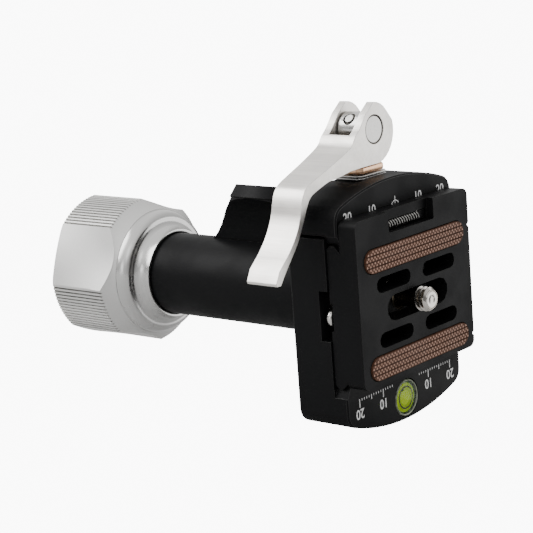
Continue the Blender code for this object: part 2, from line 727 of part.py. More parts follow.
def make_thrust_stack(mats, pivot):
    """Thrust washer and two coned disc springs between the barrel and the knob's nut."""
    inner = THREAD_RADIUS + GAP
    flat = ring_profile(inner, BARREL_RADIUS - WASHER_RIM, THRUST_X, THRUST_X + THRUST_THICKNESS)
    washer = turned("thrust_washer", flat, steps=SMALL_STEPS, closed=True)
    finish(washer, mats["polymer"], pivot)
    rim = SPRING_STACK_X
    first = [(inner, rim - DISC_SPRING_CONE), (DISC_SPRING_RADIUS, rim),
             (DISC_SPRING_RADIUS, rim - DISC_SPRING_THICKNESS),
             (inner, rim - DISC_SPRING_CONE - DISC_SPRING_THICKNESS)]
    hub = rim - DISC_SPRING_CONE - DISC_SPRING_THICKNESS - GAP
    second = [(inner, hub), (DISC_SPRING_RADIUS, hub - DISC_SPRING_CONE),
              (DISC_SPRING_RADIUS, hub - DISC_SPRING_CONE - DISC_SPRING_THICKNESS),
              (inner, hub - DISC_SPRING_THICKNESS)]
    for name, profile in (("disc_spring_front", first), ("disc_spring_rear", second)):
        finish(turned(name, profile, steps=SMALL_STEPS, closed=True), mats["steel"], pivot)


def make_shaft_end(mats, pivot):
    """Retaining washer and socket screw on the shaft's rear end."""
    washer_front = SHAFT_REAR_X - GAP
    washer_rear = washer_front - WASHER_THICKNESS
    washer = turned("end_washer", ring_profile(END_SCREW_RADIUS + GAP, END_WASHER_RADIUS, washer_rear,
                                               washer_front), steps=SMALL_STEPS, closed=True)
    finish(washer, mats["steel"], pivot)
    head_front = washer_rear - GAP
    head_rear = head_front - END_SCREW_HEAD_HEIGHT
    shank_end = head_front + END_SCREW_LENGTH
    profile = [(0, shank_end), (END_SCREW_RADIUS, shank_end), (END_SCREW_RADIUS, head_front),
               (END_SCREW_HEAD_RADIUS, head_front), (END_SCREW_HEAD_RADIUS, head_rear), (0, head_rear)]
    screw = turned("end_screw", profile, steps=TINY_STEPS)
    cut(screw, rod("socket", END_SCREW_SOCKET_RADIUS, (head_rear - OVERRUN, 0, 0),
                   OVERRUN + END_SCREW_HEAD_HEIGHT / 2, "X", steps=6))
    finish(screw, mats["dark"], pivot)


# Tension knob

def ring_and_collar():
    """Outer profile from the collar's lip over the raised ring to the cone's front edge."""
    lip = BARREL_RADIUS + GAP + COLLAR_WALL
    swell_rise = RING_RADIUS - RING_CREST_RADIUS
    fillet = [(lip + COLLAR_FILLET_RISE * (1 - math.cos(a)), COLLAR_X - COLLAR_FILLET_LENGTH * math.sin(a))
              for a in (math.radians(step) for step in range(0, 90, 15))]
    swell = [(RING_CREST_RADIUS + swell_rise * math.sin(a), RING_EDGE_X + RING_RISE * math.cos(a))
             for a in (math.radians(step) for step in range(0, 91, 15))]
    return [(lip - COLLAR_WALL, COLLAR_X)] + fillet + swell


def make_tension_knob(mats, pivot):
    """Aluminium knob: four knurled bands and four flats, a cone, a raised ring and a collar."""
    rim_x = RING_EDGE_X - KNOB_CONE_LENGTH
    blank = KNOB_CREST_RADIUS + KNURL_DEPTH
    back = arc((blank - KNOB_BACK_FILLET, KNOB_REAR_X + KNOB_BACK_FILLET), KNOB_BACK_FILLET, 0, -90, 4)
    slope = (KNOB_CREST_RADIUS - RING_RADIUS) / KNOB_CONE_LENGTH
    outer = ring_and_collar() + [(blank, rim_x - KNURL_DEPTH / slope)] + back
    cap_seat = KNOB_REAR_X + CAP_THICKNESS + 2 * GAP
    nut_rear = NUT_FRONT_X - NUT_LENGTH - GAP
    nut_seat = NUT_RADIUS + GAP
    cavity = BARREL_RADIUS + GAP
    inner = [(CAP_RADIUS + GAP, KNOB_REAR_X), (CAP_RADIUS + GAP, cap_seat), (END_CAVITY_RADIUS, cap_seat),
             (END_CAVITY_RADIUS, nut_rear), (nut_seat, nut_rear), (nut_seat, NUT_FRONT_X + GAP),
             (cavity, NUT_FRONT_X + GAP)]
    obj = turned("tension_knob", outer + inner, steps=2 * SMALL_STEPS + TINY_STEPS, closed=True)
    grip = prism("grip", grip_outline(), KNOB_REAR_X - OVERRUN, COLLAR_X + OVERRUN, "X")
    slope_scallops(grip)
    combine(obj, grip, "INTERSECT")
    return finish(obj, mats["silver"], pivot)


def slope_scallops(grip):
    """Let the scallops run out a little toward the knob's rear end."""
    half_span = SCALLOP_SPAN_DEG / 2
    for vertex in grip.data.vertices:
        if vertex.co.x < KNOB_REAR_X:
            angle = math.degrees(math.atan2(vertex.co.z, vertex.co.y)) - SCALLOP_PHASE_DEG
            lean = (angle + half_span) % (360 / SCALLOP_COUNT) - half_span
            radius = math.hypot(vertex.co.y, vertex.co.z)
            rise = SCALLOP_RUN_OUT * max(0.0, 1 - (lean / half_span) ** 2)
            vertex.co.yz = vertex.co.yz * (1 + rise / radius)


def grip_outline():
    """Cross-section of the grip: bands of V-knurl with a shallow scallop between each two."""
    points = []
    half_span = SCALLOP_SPAN_DEG / 2
    pitch = (360 / SCALLOP_COUNT - SCALLOP_SPAN_DEG) / KNURL_TEETH
    root = KNOB_CREST_RADIUS - KNURL_DEPTH
    flat_radius = KNOB_CREST_RADIUS * math.cos(math.radians(half_span))
    for side in range(SCALLOP_COUNT):
        centre = SCALLOP_PHASE_DEG + side * 360 / SCALLOP_COUNT
        for tooth in range(KNURL_TEETH):
            start = centre + half_span + tooth * pitch
            groove = start + pitch * (1 + KNURL_CREST_SHARE) / 2
            polar = [(start, KNOB_CREST_RADIUS), (start + pitch * KNURL_CREST_SHARE, KNOB_CREST_RADIUS)]
            polar.append((groove, root))
            last = tooth == KNURL_TEETH - 1
            points += [on_circle(angle, radius) for angle, radius in (polar[:1] if last else polar)]
        for step in range(SCALLOP_POINTS + 1):
            lean = half_span * (2 * step / SCALLOP_POINTS - 1)
            bow = (SCALLOP_RADIUS - flat_radius) * (1 - (lean / half_span) ** 2)
            chord = flat_radius / math.cos(math.radians(lean))
            points.append(on_circle(centre + 360 / SCALLOP_COUNT + lean, chord + bow))
    return [point for i, point in enumerate(points)
            if (Vector(point) - Vector(points[i - 1])).length > MERGE]


def on_circle(angle_deg, radius):
    """Point at an angle and a radius."""
    angle = math.radians(angle_deg)
    return (radius * math.cos(angle), radius * math.sin(angle))


def make_knob_fittings(mats, pivot):
    """Steel nut pressed into the knob and the cap that closes its back."""
    sleeve = ring_profile(THREAD_RADIUS + GAP, NUT_RADIUS, NUT_FRONT_X - NUT_LENGTH, NUT_FRONT_X)
    nut = turned("knob_nut", sleeve, steps=SMALL_STEPS, closed=True)
    finish(nut, mats["steel"], pivot)
    outer_face = KNOB_REAR_X + GAP
    inner_face = outer_face + CAP_THICKNESS
    plug = END_CAVITY_RADIUS - GAP
    cap = turned("knob_cap", [(0, inner_face + CAP_PLUG_LENGTH), (plug, inner_face + CAP_PLUG_LENGTH),
                              (plug, inner_face), (CAP_RADIUS, inner_face), (CAP_RADIUS, outer_face),
                              (0, outer_face)], steps=SMALL_STEPS)
    finish(cap, mats["silver"], pivot)


# Clamp

def clamp_outline():
    """Outline of the clamp seen along the barrel: arched top and bottom, round corners."""
    half = CLAMP_HALF_WIDTH
    inset = half - CLAMP_CORNER_RADIUS
    reach = CLAMP_ARC_RADIUS - CLAMP_CORNER_RADIUS
    rise = math.sqrt(reach ** 2 - inset ** 2)
    meet = math.degrees(math.atan2(rise, inset))
    top = CLAMP_TOP - CLAMP_ARC_RADIUS
    low = CLAMP_BOTTOM + CLAMP_ARC_RADIUS
    return (arc((inset, top + rise), CLAMP_CORNER_RADIUS, 0, meet, 5)
            + arc((0, top), CLAMP_ARC_RADIUS, meet, 180 - meet, 15)[1:-1]
            + arc((-inset, top + rise), CLAMP_CORNER_RADIUS, 180 - meet, 180, 5)
            + arc((-inset, low - rise), CLAMP_CORNER_RADIUS, 180, 180 + meet, 5)
            + arc((0, low), CLAMP_ARC_RADIUS, 180 + meet, 360 - meet, 15)[1:-1]
            + arc((inset, low - rise), CLAMP_CORNER_RADIUS, 360 - meet, 360, 5))


def clamp_blank(name, back_edge):
    """The outline as a block with its back and front edges eased."""
    blank = prism(name, clamp_outline(), CLAMP_BACK_X, JAW_FACE_X, "X")
    middle = (CLAMP_BACK_X + JAW_FACE_X) / 2
    round_edges(blank, lambda a, b: a.x < middle and b.x < middle, back_edge, 3)
    return round_edges(blank, lambda a, b: min(a.x, b.x) > JAW_FACE_X - WELD, CLAMP_FRONT_EDGE, 1)


def dovetail_flank(side, clearance):
    """The undercut side of the plate's dovetail, from its back to its neck, moved out by a clearance."""
    tip = DOVETAIL_HALF_WIDTH + clearance
    land_x = PLATE_BACK_X + DOVETAIL_BACK_CHAMFER + DOVETAIL_LAND
    neck_x = land_x + DOVETAIL_UNDERCUT
    points = [(PLATE_BACK_X, tip - DOVETAIL_BACK_CHAMFER), (PLATE_BACK_X + DOVETAIL_BACK_CHAMFER, tip),
              (land_x, tip), (neck_x, tip - DOVETAIL_UNDERCUT)]
    return [(x, PLATE_CENTRE + side * z) for x, z in points]


def lead_in(name, side, end):
    """Wedge that opens a jaw's lip at one end, so the plate slides in."""
    root = PLATE_CENTRE + side * (DOVETAIL_HALF_WIDTH + 2 * GAP)
    tip = root - side * (DOVETAIL_UNDERCUT + OVERRUN)
    outer = end * (CLAMP_HALF_WIDTH + OVERRUN)
    inner = end * (CLAMP_HALF_WIDTH - LEAD_IN_WIDTH)
    deep = root + side * (LEAD_IN_HEIGHT - DOVETAIL_UNDERCUT)
    corner = end * (CLAMP_HALF_WIDTH - LEAD_IN_LAND)
    outline = [(inner, tip), (outer, tip), (outer, deep), (corner, deep)]
    return prism(name, outline, CLAMP_FLOOR_X + GAP / 2, JAW_FACE_X + OVERRUN, "X")


def make_clamp_body(mats, pivot):
    """Clamp block with the fixed jaw, the floor channel and its bores."""
    body = clamp_blank("clamp_body", CLAMP_BACK_EDGE)
    slack = GAP * math.sqrt(2)
    groove = PLATE_CENTRE - DOVETAIL_HALF_WIDTH - GAP
    lip_front = PLATE_CENTRE - DOVETAIL_HALF_WIDTH - slack + (JAW_FACE_X - dovetail_flank(-1, 0)[2][0])
    lip_root = JAW_FACE_X - (lip_front - groove)
    front = JAW_FACE_X + OVERRUN
    above = CLAMP_TOP + OVERRUN
    back = CLAMP_BACK_X - OVERRUN
    waste = [(back, above), (back, JAW_SPLIT_BOTTOM), (CLAMP_FLOOR_X, JAW_SPLIT_BOTTOM),
             (CLAMP_FLOOR_X, CHANNEL_TOP), (CHANNEL_X, CHANNEL_TOP), (CHANNEL_X, CHANNEL_BOTTOM),
             (CLAMP_FLOOR_X, CHANNEL_BOTTOM), (CLAMP_FLOOR_X, groove), (lip_root, groove),
             (front, lip_front + OVERRUN), (front, above)]
    wide = CLAMP_HALF_WIDTH + OVERRUN
    cut(body, prism("waste", waste, -wide, wide, "Y"))
    for end in (-1, 1):
        cut(body, lead_in("lead_in", -1, end))
    cut(body, rod("shaft_pocket", SPIGOT_RADIUS + GAP, (back, 0, 0), SPIGOT_FRONT_X + GAP - back, "X"),
        rod("bolt_hole", BOLT_RADIUS + GAP, (SPIGOT_FRONT_X, 0, 0), CLAMP_DEPTH, "X", TINY_STEPS),
        rod("rod_bore", ROD_RADIUS + GAP, (ROD_X, 0, ROD_BOTTOM - GAP), CLAMP_TOP, "Z"),
        rod("anchor_bore", ANCHOR_RADIUS + GAP, (back, 0, ANCHOR_HEIGHT),
            ANCHOR_RECESS + ANCHOR_LENGTH + GAP + OVERRUN, "X"),
        rod("level_pocket", LEVEL_RADIUS + GAP, (JAW_FACE_X - LEVEL_POCKET_DEPTH, 0, LEVEL_HEIGHT),
            LEVEL_POCKET_DEPTH + OVERRUN, "X"))
    for side in (-1, 1):
        offset = side * GUIDE_PIN_OFFSET
        cut(body, rod("drive_hole", DRIVE_PIN_RADIUS + GAP, (SPIGOT_FRONT_X, side * DRIVE_PIN_OFFSET, 0),
                      DRIVE_PIN_LENGTH / 2 + GAP, "X", TINY_STEPS),
            rod("guide_bore", GUIDE_PIN_RADIUS + GAP, (GUIDE_PIN_X, offset, GUIDE_PIN_BOTTOM - GAP),
                CLAMP_TOP, "Z", TINY_STEPS),
            rod("spring_seat", SPRING_SEAT_RADIUS,
                (GUIDE_PIN_X, offset, JAW_SPLIT_BOTTOM - SPRING_SEAT_DEPTH), CLAMP_TOP, "Z"))
    return finish(body, mats["black"], pivot)


def make_movable_jaw(mats, pivot):
    """Upper jaw: slides on the two guide pins, with a seat for the cam saddle."""
    jaw = clamp_blank("movable_jaw", JAW_BACK_EDGE)
    slack = GAP * math.sqrt(2)
    lip_x = CLAMP_FLOOR_X + GAP
    ledge = PLATE_CENTRE + DOVETAIL_HALF_WIDTH + GAP
    lip_front = PLATE_CENTRE + DOVETAIL_HALF_WIDTH + slack - (JAW_FACE_X - dovetail_flank(1, 0)[2][0])
    lip_root = JAW_FACE_X - (ledge - lip_front)
    front = JAW_FACE_X + OVERRUN
    below = CLAMP_BOTTOM - OVERRUN
    back = CLAMP_BACK_X - OVERRUN
    waste = [(back, below), (front, below), (front, lip_front - OVERRUN), (lip_root, ledge), (lip_x, ledge),
             (lip_x, JAW_SPLIT_TOP), (back, JAW_SPLIT_TOP)]
    wide = CLAMP_HALF_WIDTH + OVERRUN
    cut(jaw, prism("waste", waste, -wide, wide, "Y"))
    for end in (-1, 1):
        cut(jaw, lead_in("lead_in", 1, end))
    half = SEAT_WIDTH / 2
    cut(jaw, block("seat", (back, -wide, SEAT_HEIGHT), (ROD_X + half, wide, CLAMP_TOP + OVERRUN)),
        rod("rod_bore", ROD_RADIUS + GAP, (ROD_X, 0, 0), CLAMP_TOP + OVERRUN, "Z"))
    for side in (-1, 1):
        offset = side * GUIDE_PIN_OFFSET
        foot = (GUIDE_PIN_X, offset, 0)
        cut(jaw, rod("guide_bore", GUIDE_PIN_RADIUS + GAP, foot, GUIDE_PIN_TOP + SLIDE_GAP, "Z", TINY_STEPS),
            rod("spring_seat", SPRING_SEAT_RADIUS, foot, JAW_SPLIT_TOP + JAW_SPRING_SEAT_DEPTH, "Z"))
    return finish(jaw, mats["black"], pivot)


def make_guides(mats, pivot):
    """Guide pins in the body and the springs that push the jaw open."""
    length = GUIDE_PIN_TOP - GUIDE_PIN_BOTTOM
    spring_bottom = JAW_SPLIT_BOTTOM - SPRING_SEAT_DEPTH + GAP
    spring_length = JAW_SPLIT_TOP + JAW_SPRING_SEAT_DEPTH - GAP - spring_bottom
    for label, side in (("left", -1), ("right", 1)):
        offset = side * GUIDE_PIN_OFFSET
        foot = (GUIDE_PIN_X, offset, GUIDE_PIN_BOTTOM)
        pin = rod(f"guide_pin_{label}", GUIDE_PIN_RADIUS, foot, length, "Z", TINY_STEPS)
        finish(pin, mats["steel"], pivot)
        spring = coil(f"jaw_spring_{label}", JAW_SPRING_RADIUS, JAW_SPRING_WIRE,
                      (GUIDE_PIN_X, offset, spring_bottom), spring_length, JAW_SPRING_CURLS, "Z")
        finish(spring, mats["steel"], pivot)


def make_pull_rod(mats, pivot):
    """Rod with an eye for the lever's pin, a grub screw in the eye and a barrel nut at its foot."""
    side = (ROD_X - EYE_WIDTH / 2, 0, PIN_HEIGHT)
    eye = rod("pull_rod", EYE_RADIUS, side, EYE_WIDTH, "X", 2 * TINY_STEPS)
    shank = rod("shank", ROD_RADIUS, (ROD_X, 0, ROD_BOTTOM), PIN_HEIGHT - ROD_BOTTOM, "Z")
    combine(eye, shank, "UNION")
    cut(eye, rod("pin_hole", PIN_RADIUS + GAP, (ROD_X - EYE_WIDTH, 0, PIN_HEIGHT), 2 * EYE_WIDTH, "X"))
    lean = math.radians(GRUB_ANGLE_DEG)
    slant = (Matrix.Translation((ROD_X, 0, PIN_HEIGHT)) @ Matrix.Rotation(lean, 4, "X"))
    hole = rod("grub_hole", GRUB_HOLE_RADIUS, (0, 0, 0), EYE_RADIUS + OVERRUN, "Z", TINY_STEPS)
    hole.data.transform(slant)
    cut(eye, hole)
    finish(eye, mats["steel"], pivot)
    foot = (0, 0, EYE_RADIUS + GRUB_PROUD - GRUB_LENGTH)
    grub = rod("pin_grub_screw", GRUB_RADIUS, foot, GRUB_LENGTH, "Z", TINY_STEPS)
    grub.data.transform(slant)
    finish(grub, mats["steel"], pivot)
    start = CLAMP_BACK_X + ANCHOR_RECESS
    nut = rod("anchor_nut", ANCHOR_RADIUS, (start, 0, ANCHOR_HEIGHT), ANCHOR_LENGTH, "X")
    cut(nut, rod("rod_hole", ROD_RADIUS + GAP, (ROD_X, 0, 0), CLAMP_TOP, "Z"))
    finish(nut, mats["steel"], pivot)


def make_saddle(mats, pivot):
    """Copper-coloured cam saddle and the two thin steel washers under it, all on the jaw."""
    def plate(name, width, length, low, thickness, chamfer):
        half_width, half_length = width / 2, length / 2
        outline = []
        for across, along in ((1, 1), (-1, 1), (-1, -1), (1, -1)):
            on_side = (ROD_X + across * half_width, along * (half_length - chamfer))
            on_end = (ROD_X + across * (half_width - chamfer), along * half_length)
            outline += [on_side, on_end] if across == along else [on_end, on_side]
        obj = prism(name, outline, low, low + thickness, "Z")
        return cut(obj, rod("hole", ROD_RADIUS + GAP, (ROD_X, 0, 0), 2 * CLAMP_TOP, "Z"))

    low = SEAT_HEIGHT + GAP
    for name in ("lower_shim", "upper_shim"):
        shim = plate(name, SADDLE_WIDTH + 2 * SHIM_MARGIN, SADDLE_LENGTH + 2 * SHIM_MARGIN, low,
                     SHIM_THICKNESS, SADDLE_CHAMFER)
        finish(shim, mats["steel"], pivot)
        low += SHIM_THICKNESS + GAP
    saddle = plate("cam_saddle", SADDLE_WIDTH, SADDLE_LENGTH, low, SADDLE_HEIGHT, SADDLE_CHAMFER)
    finish(saddle, mats["copper"], pivot)


def make_level(mats, pivot):
    """Round bubble level: a clear cup with its liquid, pressed into the fixed jaw."""
    front = JAW_FACE_X + LEVEL_PROUD
    back = JAW_FACE_X - LEVEL_POCKET_DEPTH + GAP
    inner = LEVEL_RADIUS - LEVEL_WALL
    lens = front - LEVEL_LENS_THICKNESS
    cup = turned("level_vial", [(0, front), (LEVEL_RADIUS, front), (LEVEL_RADIUS, back), (inner, back),
                                (inner, lens), (0, lens)], steps=SMALL_STEPS, place=(0, 0, LEVEL_HEIGHT))
    finish(cup, mats["clear"], pivot)
    liquid = rod("level_liquid", inner - GAP, (lens - GAP - LEVEL_LIQUID_THICKNESS, 0, LEVEL_HEIGHT),
                 LEVEL_LIQUID_THICKNESS, "X")
    finish(liquid, mats["liquid"], pivot)


# Cam lever

def lever_outline():
    """Side outline about the pin: ear, outer face, tip, inner face, cam flat and cam."""
    outer, lip, inner = ([(-across * LEVER_REACH, -down * LEVER_DROP) for across, down in shares]
                         for shares in (LEVER_OUTER_SHARES, LEVER_LIP_SHARES, LEVER_INNER_SHARES))
    flat = [(-FLAT_BACK_SHARE * LEVER_REACH, -CAM_FLAT_DEPTH), (CAM_FLAT_FRONT, -CAM_FLAT_DEPTH)]
    cam = []
    for i in range(CAM_POINTS):
        share = i / (CAM_POINTS - 1)
        angle = math.radians(CAM_START_DEG + (CAM_END_DEG - CAM_START_DEG) * share)
        radius = CAM_CLOSED_RADIUS + (CAM_OPEN_RADIUS - CAM_CLOSED_RADIUS) * share
        cam.append((radius * math.sin(angle), -radius * math.cos(angle)))
    ear = []
    for i in range(EAR_POINTS):
        angle = math.radians(EAR_START_DEG + (EAR_END_DEG - EAR_START_DEG) * i / (EAR_POINTS - 1))
        ear.append((EAR_RADIUS * math.sin(angle), -EAR_RADIUS * math.cos(angle)))
    return (smooth_line(outer, LEVER_SMOOTH_STEPS) + lip + smooth_line(inner, LEVER_SMOOTH_STEPS)
            + flat + cam + ear)


def make_cam_lever(mats, pivot):
    """Steel lever: forked cam end, waisted arm and flared tip."""
    outline = [(y, PIN_HEIGHT + z) for y, z in lever_outline()]
    half = FORK_WIDTH / 2
    strip = STRIP_WIDTH / 2
    lever = prism("cam_lever", outline, ROD_X - half, ROD_X + half, "X")
    rear = -TAPER_START_SHARE * LEVER_REACH
    front = -TAPER_END_SHARE * LEVER_REACH
    far = -LEVER_REACH * LEVER_LIP_SHARES[0][0] - OVERRUN
    near = CAM_CLOSED_RADIUS + OVERRUN
    wide = half + OVERRUN
    plan = [(ROD_X + wide, near), (ROD_X - wide, near), (ROD_X - wide, rear), (ROD_X - half, rear),
            (ROD_X - strip, front), (ROD_X - strip, far), (ROD_X + strip, far), (ROD_X + strip, front),
            (ROD_X + half, rear), (ROD_X + wide, rear)]
    combine(lever, prism("plan", plan, 0, PIN_HEIGHT + CAM_CLOSED_RADIUS + OVERRUN, "Z"), "INTERSECT")
    slot = FORK_SLOT_WIDTH / 2
    cut(lever, block("fork_slot", (ROD_X - slot, -FORK_SLOT_BACK, PIN_HEIGHT - CAM_CLOSED_RADIUS - OVERRUN),
                     (ROD_X + slot, near, PIN_HEIGHT + CAM_CLOSED_RADIUS + OVERRUN)),
        rod("pin_hole", PIN_RADIUS + GAP, (ROD_X - half - OVERRUN, 0, PIN_HEIGHT), FORK_WIDTH, "X"),
        rod("head_hole", PIN_HEAD_RADIUS + GAP, (ROD_X + slot - GAP, 0, PIN_HEIGHT), half, "X"))
    return finish(lever, mats["steel"], pivot)


def make_lever_pin(mats, pivot):
    """Headed cross pin, pressed into the fork and free in the rod's eye."""
    half = FORK_WIDTH / 2
    head_end = ROD_X + half - PIN_RECESS
    profile = screw_profile(PIN_RADIUS, ROD_X - half, PIN_HEAD_RADIUS, head_end - PIN_HEAD_HEIGHT, head_end)
    pin = turned("lever_pin", profile, steps=SMALL_STEPS, place=(0, 0, PIN_HEIGHT))
    return finish(pin, mats["steel"], pivot)


# Quick-release plate

def make_plate(mats, pivot):
    """Plate: dovetail, flange, slots, pad pockets, screw pocket and catch pocket."""
    neck_x = FLANGE_BACK_X
    low = dovetail_flank(-1, 0)
    high = dovetail_flank(1, 0)
    profile = low[:3] + [(neck_x, low[2][1] + (neck_x - low[2][0])), (neck_x, PLATE_BOTTOM),
                         (PLATE_FRONT_X, PLATE_BOTTOM), (PLATE_FRONT_X, PLATE_TOP), (neck_x, PLATE_TOP),
                         (neck_x, high[2][1] - (neck_x - high[2][0]))] + high[2::-1]
    plate = prism("quick_release_plate", profile, -PLATE_HALF_LENGTH, PLATE_HALF_LENGTH, "Y")

    def is_corner(a, b):
        ends = min(abs(a.y), abs(b.y)) > PLATE_HALF_LENGTH - WELD
        across = abs(a.x - b.x) > PLATE_FLANGE_DEPTH / 2 and (a.x + b.x) / 2 > neck_x
        return ends and across and (min(a.z, b.z) > PLATE_TOP - WELD or max(a.z, b.z) < PLATE_BOTTOM + WELD)
    round_edges(plate, is_corner, PLATE_CORNER, 4)
    front = PLATE_FRONT_X + OVERRUN
    back = PLATE_BACK_X - OVERRUN
    for across in (-1, 1):
        for up in (-1, 1):
            centre = (across * PLATE_SLOT_SPACING, PLATE_CENTRE + up * PLATE_SLOT_RISE)
            outline = slot_outline(PLATE_PATTERN_SLOT_LENGTH, PLATE_PATTERN_SLOT_WIDTH, centre)
            cut(plate, prism("slot", outline, back, front, "X"))
    outline = slot_outline(SCREW_SLOT_LENGTH, SCREW_SLOT_WIDTH, (0, SCREW_HEIGHT))
    cut(plate, prism("screw_slot", outline, back, front, "X"),
        block("screw_pocket", (back, -SCREW_POCKET_HALF_LENGTH, PLATE_CENTRE - SCREW_POCKET_HALF_WIDTH),
              (PLATE_BACK_X + SCREW_POCKET_DEPTH, SCREW_POCKET_HALF_LENGTH,
               PLATE_CENTRE + SCREW_POCKET_HALF_WIDTH)),
        block("back_groove", (back, -PLATE_HALF_LENGTH - OVERRUN, PLATE_CENTRE - BACK_GROOVE_HALF_WIDTH),
              (PLATE_BACK_X + BACK_GROOVE_DEPTH, PLATE_HALF_LENGTH + OVERRUN,
               PLATE_CENTRE + BACK_GROOVE_HALF_WIDTH)))
    pocket = PLATE_FRONT_X + PAD_PROUD - PAD_THICKNESS - GAP
    for up in (-1, 1):
        centre = (0, PLATE_CENTRE + up * PAD_RISE)
        cut(plate, prism("pad_pocket", slot_outline(PAD_LENGTH + 2 * GAP, PAD_WIDTH + 2 * GAP, centre, 9),
                         pocket, front, "X"))
    recess_x = PLATE_FRONT_X - RECESS_DEPTH
    cut(plate, block("recess", (recess_x, RECESS_LEFT, RECESS_BOTTOM),
                     (front, RECESS_RIGHT, PLATE_TOP + OVERRUN)),
        block("window", (recess_x - WINDOW_DEPTH, WINDOW_LEFT, RECESS_BOTTOM),
              (front, WINDOW_RIGHT, RECESS_BOTTOM + WINDOW_HEIGHT)))
    for side in (-1, 1):
        start = (PLATE_BACK_X + BACK_GROOVE_DEPTH - OVERRUN, side * STOP_OFFSET, PLATE_CENTRE - STOP_DROP)
        cut(plate, rod("stop_hole", STOP_SHANK_RADIUS + GAP, start, STOP_SHANK_LENGTH + OVERRUN + GAP,
                       "X", TINY_STEPS))
        cut(plate, edge_nick(side))
    return finish(plate, mats["black"], pivot)


def edge_nick(side):
    """Small V nick that marks the plate's right edge above and below its centre."""
    height = PLATE_CENTRE + side * EDGE_NICK_HEIGHT
    beyond = PLATE_HALF_LENGTH + OVERRUN
    wide = EDGE_NICK_SIZE + OVERRUN
    outline = [(PLATE_HALF_LENGTH - EDGE_NICK_SIZE, height), (beyond, height - wide),
               (beyond, height + wide)]
    return prism("nick", outline, FLANGE_BACK_X - GAP / 2, PLATE_FRONT_X + OVERRUN, "X")


def make_pads(mats, pivot):
    """Two rubber pads let into the plate's front face."""
    front = PLATE_FRONT_X + PAD_PROUD
    for name, up in (("lower_pad", -1), ("upper_pad", 1)):
        outline = slot_outline(PAD_LENGTH, PAD_WIDTH, (0, PLATE_CENTRE + up * PAD_RISE), 9)
        finish(prism(name, outline, front - PAD_THICKNESS, front, "X"), mats["rubber"], pivot)


def make_stop_screws(mats, pivot):
    """Two screws on the plate's back that keep it from sliding past the clamp's bolt."""
    head_end = PLATE_BACK_X + BACK_GROOVE_DEPTH - GAP
    head_start = head_end - STOP_HEAD_HEIGHT
    shank_end = PLATE_BACK_X + BACK_GROOVE_DEPTH + STOP_SHANK_LENGTH
    rounding = arc((STOP_HEAD_RADIUS - STOP_HEAD_ROUND, head_start + STOP_HEAD_ROUND), STOP_HEAD_ROUND,
                   0, -90, STOP_HEAD_POINTS)
    profile = [(0, shank_end), (STOP_SHANK_RADIUS, shank_end), (STOP_SHANK_RADIUS, head_end),
               (STOP_HEAD_RADIUS, head_end)] + rounding + [(0, head_start)]
    for label, side in (("left", -1), ("right", 1)):
        place = (0, side * STOP_OFFSET, PLATE_CENTRE - STOP_DROP)
        finish(turned(f"stop_screw_{label}", profile, steps=SMALL_STEPS, place=place), mats["steel"], pivot)


def make_camera_screw(mats, washer_pivot, pivot):
    """1/4 inch screw with its flat head behind the plate, a washer and a folded wire ring."""
    tip = PLATE_FRONT_X + SCREW_PROUD
    thread_end = PLATE_FRONT_X - GAP
    head_back = SCREW_HEAD_X - SCREW_HEAD_HEIGHT
    place = (0, SCREW_REST, SCREW_HEIGHT)
    screw = turned("camera_screw", [(0, tip), (QUARTER_RADIUS - SCREW_TIP_CHAMFER, tip),
                                    (QUARTER_RADIUS, tip - SCREW_TIP_CHAMFER), (QUARTER_RADIUS, thread_end),
                                    (SCREW_NECK_RADIUS, thread_end), (SCREW_NECK_RADIUS, SCREW_HEAD_X),
                                    (SCREW_HEAD_RADIUS, SCREW_HEAD_X), (SCREW_HEAD_RADIUS, head_back),
                                    (0, head_back)], steps=SMALL_STEPS, place=place)
    finish(screw, mats["steel"], pivot)
    washer_low = SCREW_HEAD_X + GAP
    washer = turned("screw_washer", ring_profile(QUARTER_RADIUS + GAP, SCREW_WASHER_RADIUS, washer_low,
                                                 washer_low + SCREW_WASHER_THICKNESS),
                    steps=SMALL_STEPS, closed=True, place=place)
    finish(washer, mats["dark"], washer_pivot)
    finish(fold_ring(head_back - GAP - FOLD_RING_WIRE), mats["steel"], pivot)


def fold_ring(station):
    """Half-round wire loop that lies folded against the screw's head."""
    path = [(0, 0)] + arc((0, 0), FOLD_RING_RADIUS, 0, 180, FOLD_RING_POINTS)
    path[0] = (FOLD_RING_RADIUS / 2, 0)
    path.append((-FOLD_RING_RADIUS / 2, 0))
    curve = bpy.data.curves.new("fold_ring", "CURVE")
    curve.dimensions = "3D"
    curve.bevel_depth = FOLD_RING_WIRE
    curve.bevel_resolution = 1
    curve.use_fill_caps = True
    spline = curve.splines.new("POLY")
    spline.points.add(len(path) - 1)
    for point, (across, up) in zip(spline.points, path):
        point.co = (station, SCREW_REST + across, SCREW_HEIGHT - up + FOLD_RING_INSET, 1)
    return mesh_of_curve("fold_ring", curve)


def make_catch(mats, plate_pivot, pivot):
    """Sliding catch in the plate's top pocket and the spring that pushes it."""
    half_height = WINDOW_HEIGHT / 2 - GAP
    half_depth = WINDOW_DEPTH / 2 - GAP
    right = WINDOW_RIGHT - GAP
    left = right - CATCH_LENGTH
    slider = block("catch_slider", (CATCH_X - half_depth, left, CATCH_HEIGHT - half_height),
                   (CATCH_X + half_depth, right, CATCH_HEIGHT + half_height))
    finish(slider, mats["black"], pivot)
    start = WINDOW_LEFT + GAP
    spring = coil("catch_spring", CATCH_SPRING_RADIUS, CATCH_SPRING_WIRE, (CATCH_X, start, CATCH_HEIGHT),
                  left - GAP - start, CATCH_SPRING_CURLS, "Y")
    finish(spring, mats["steel"], plate_pivot)


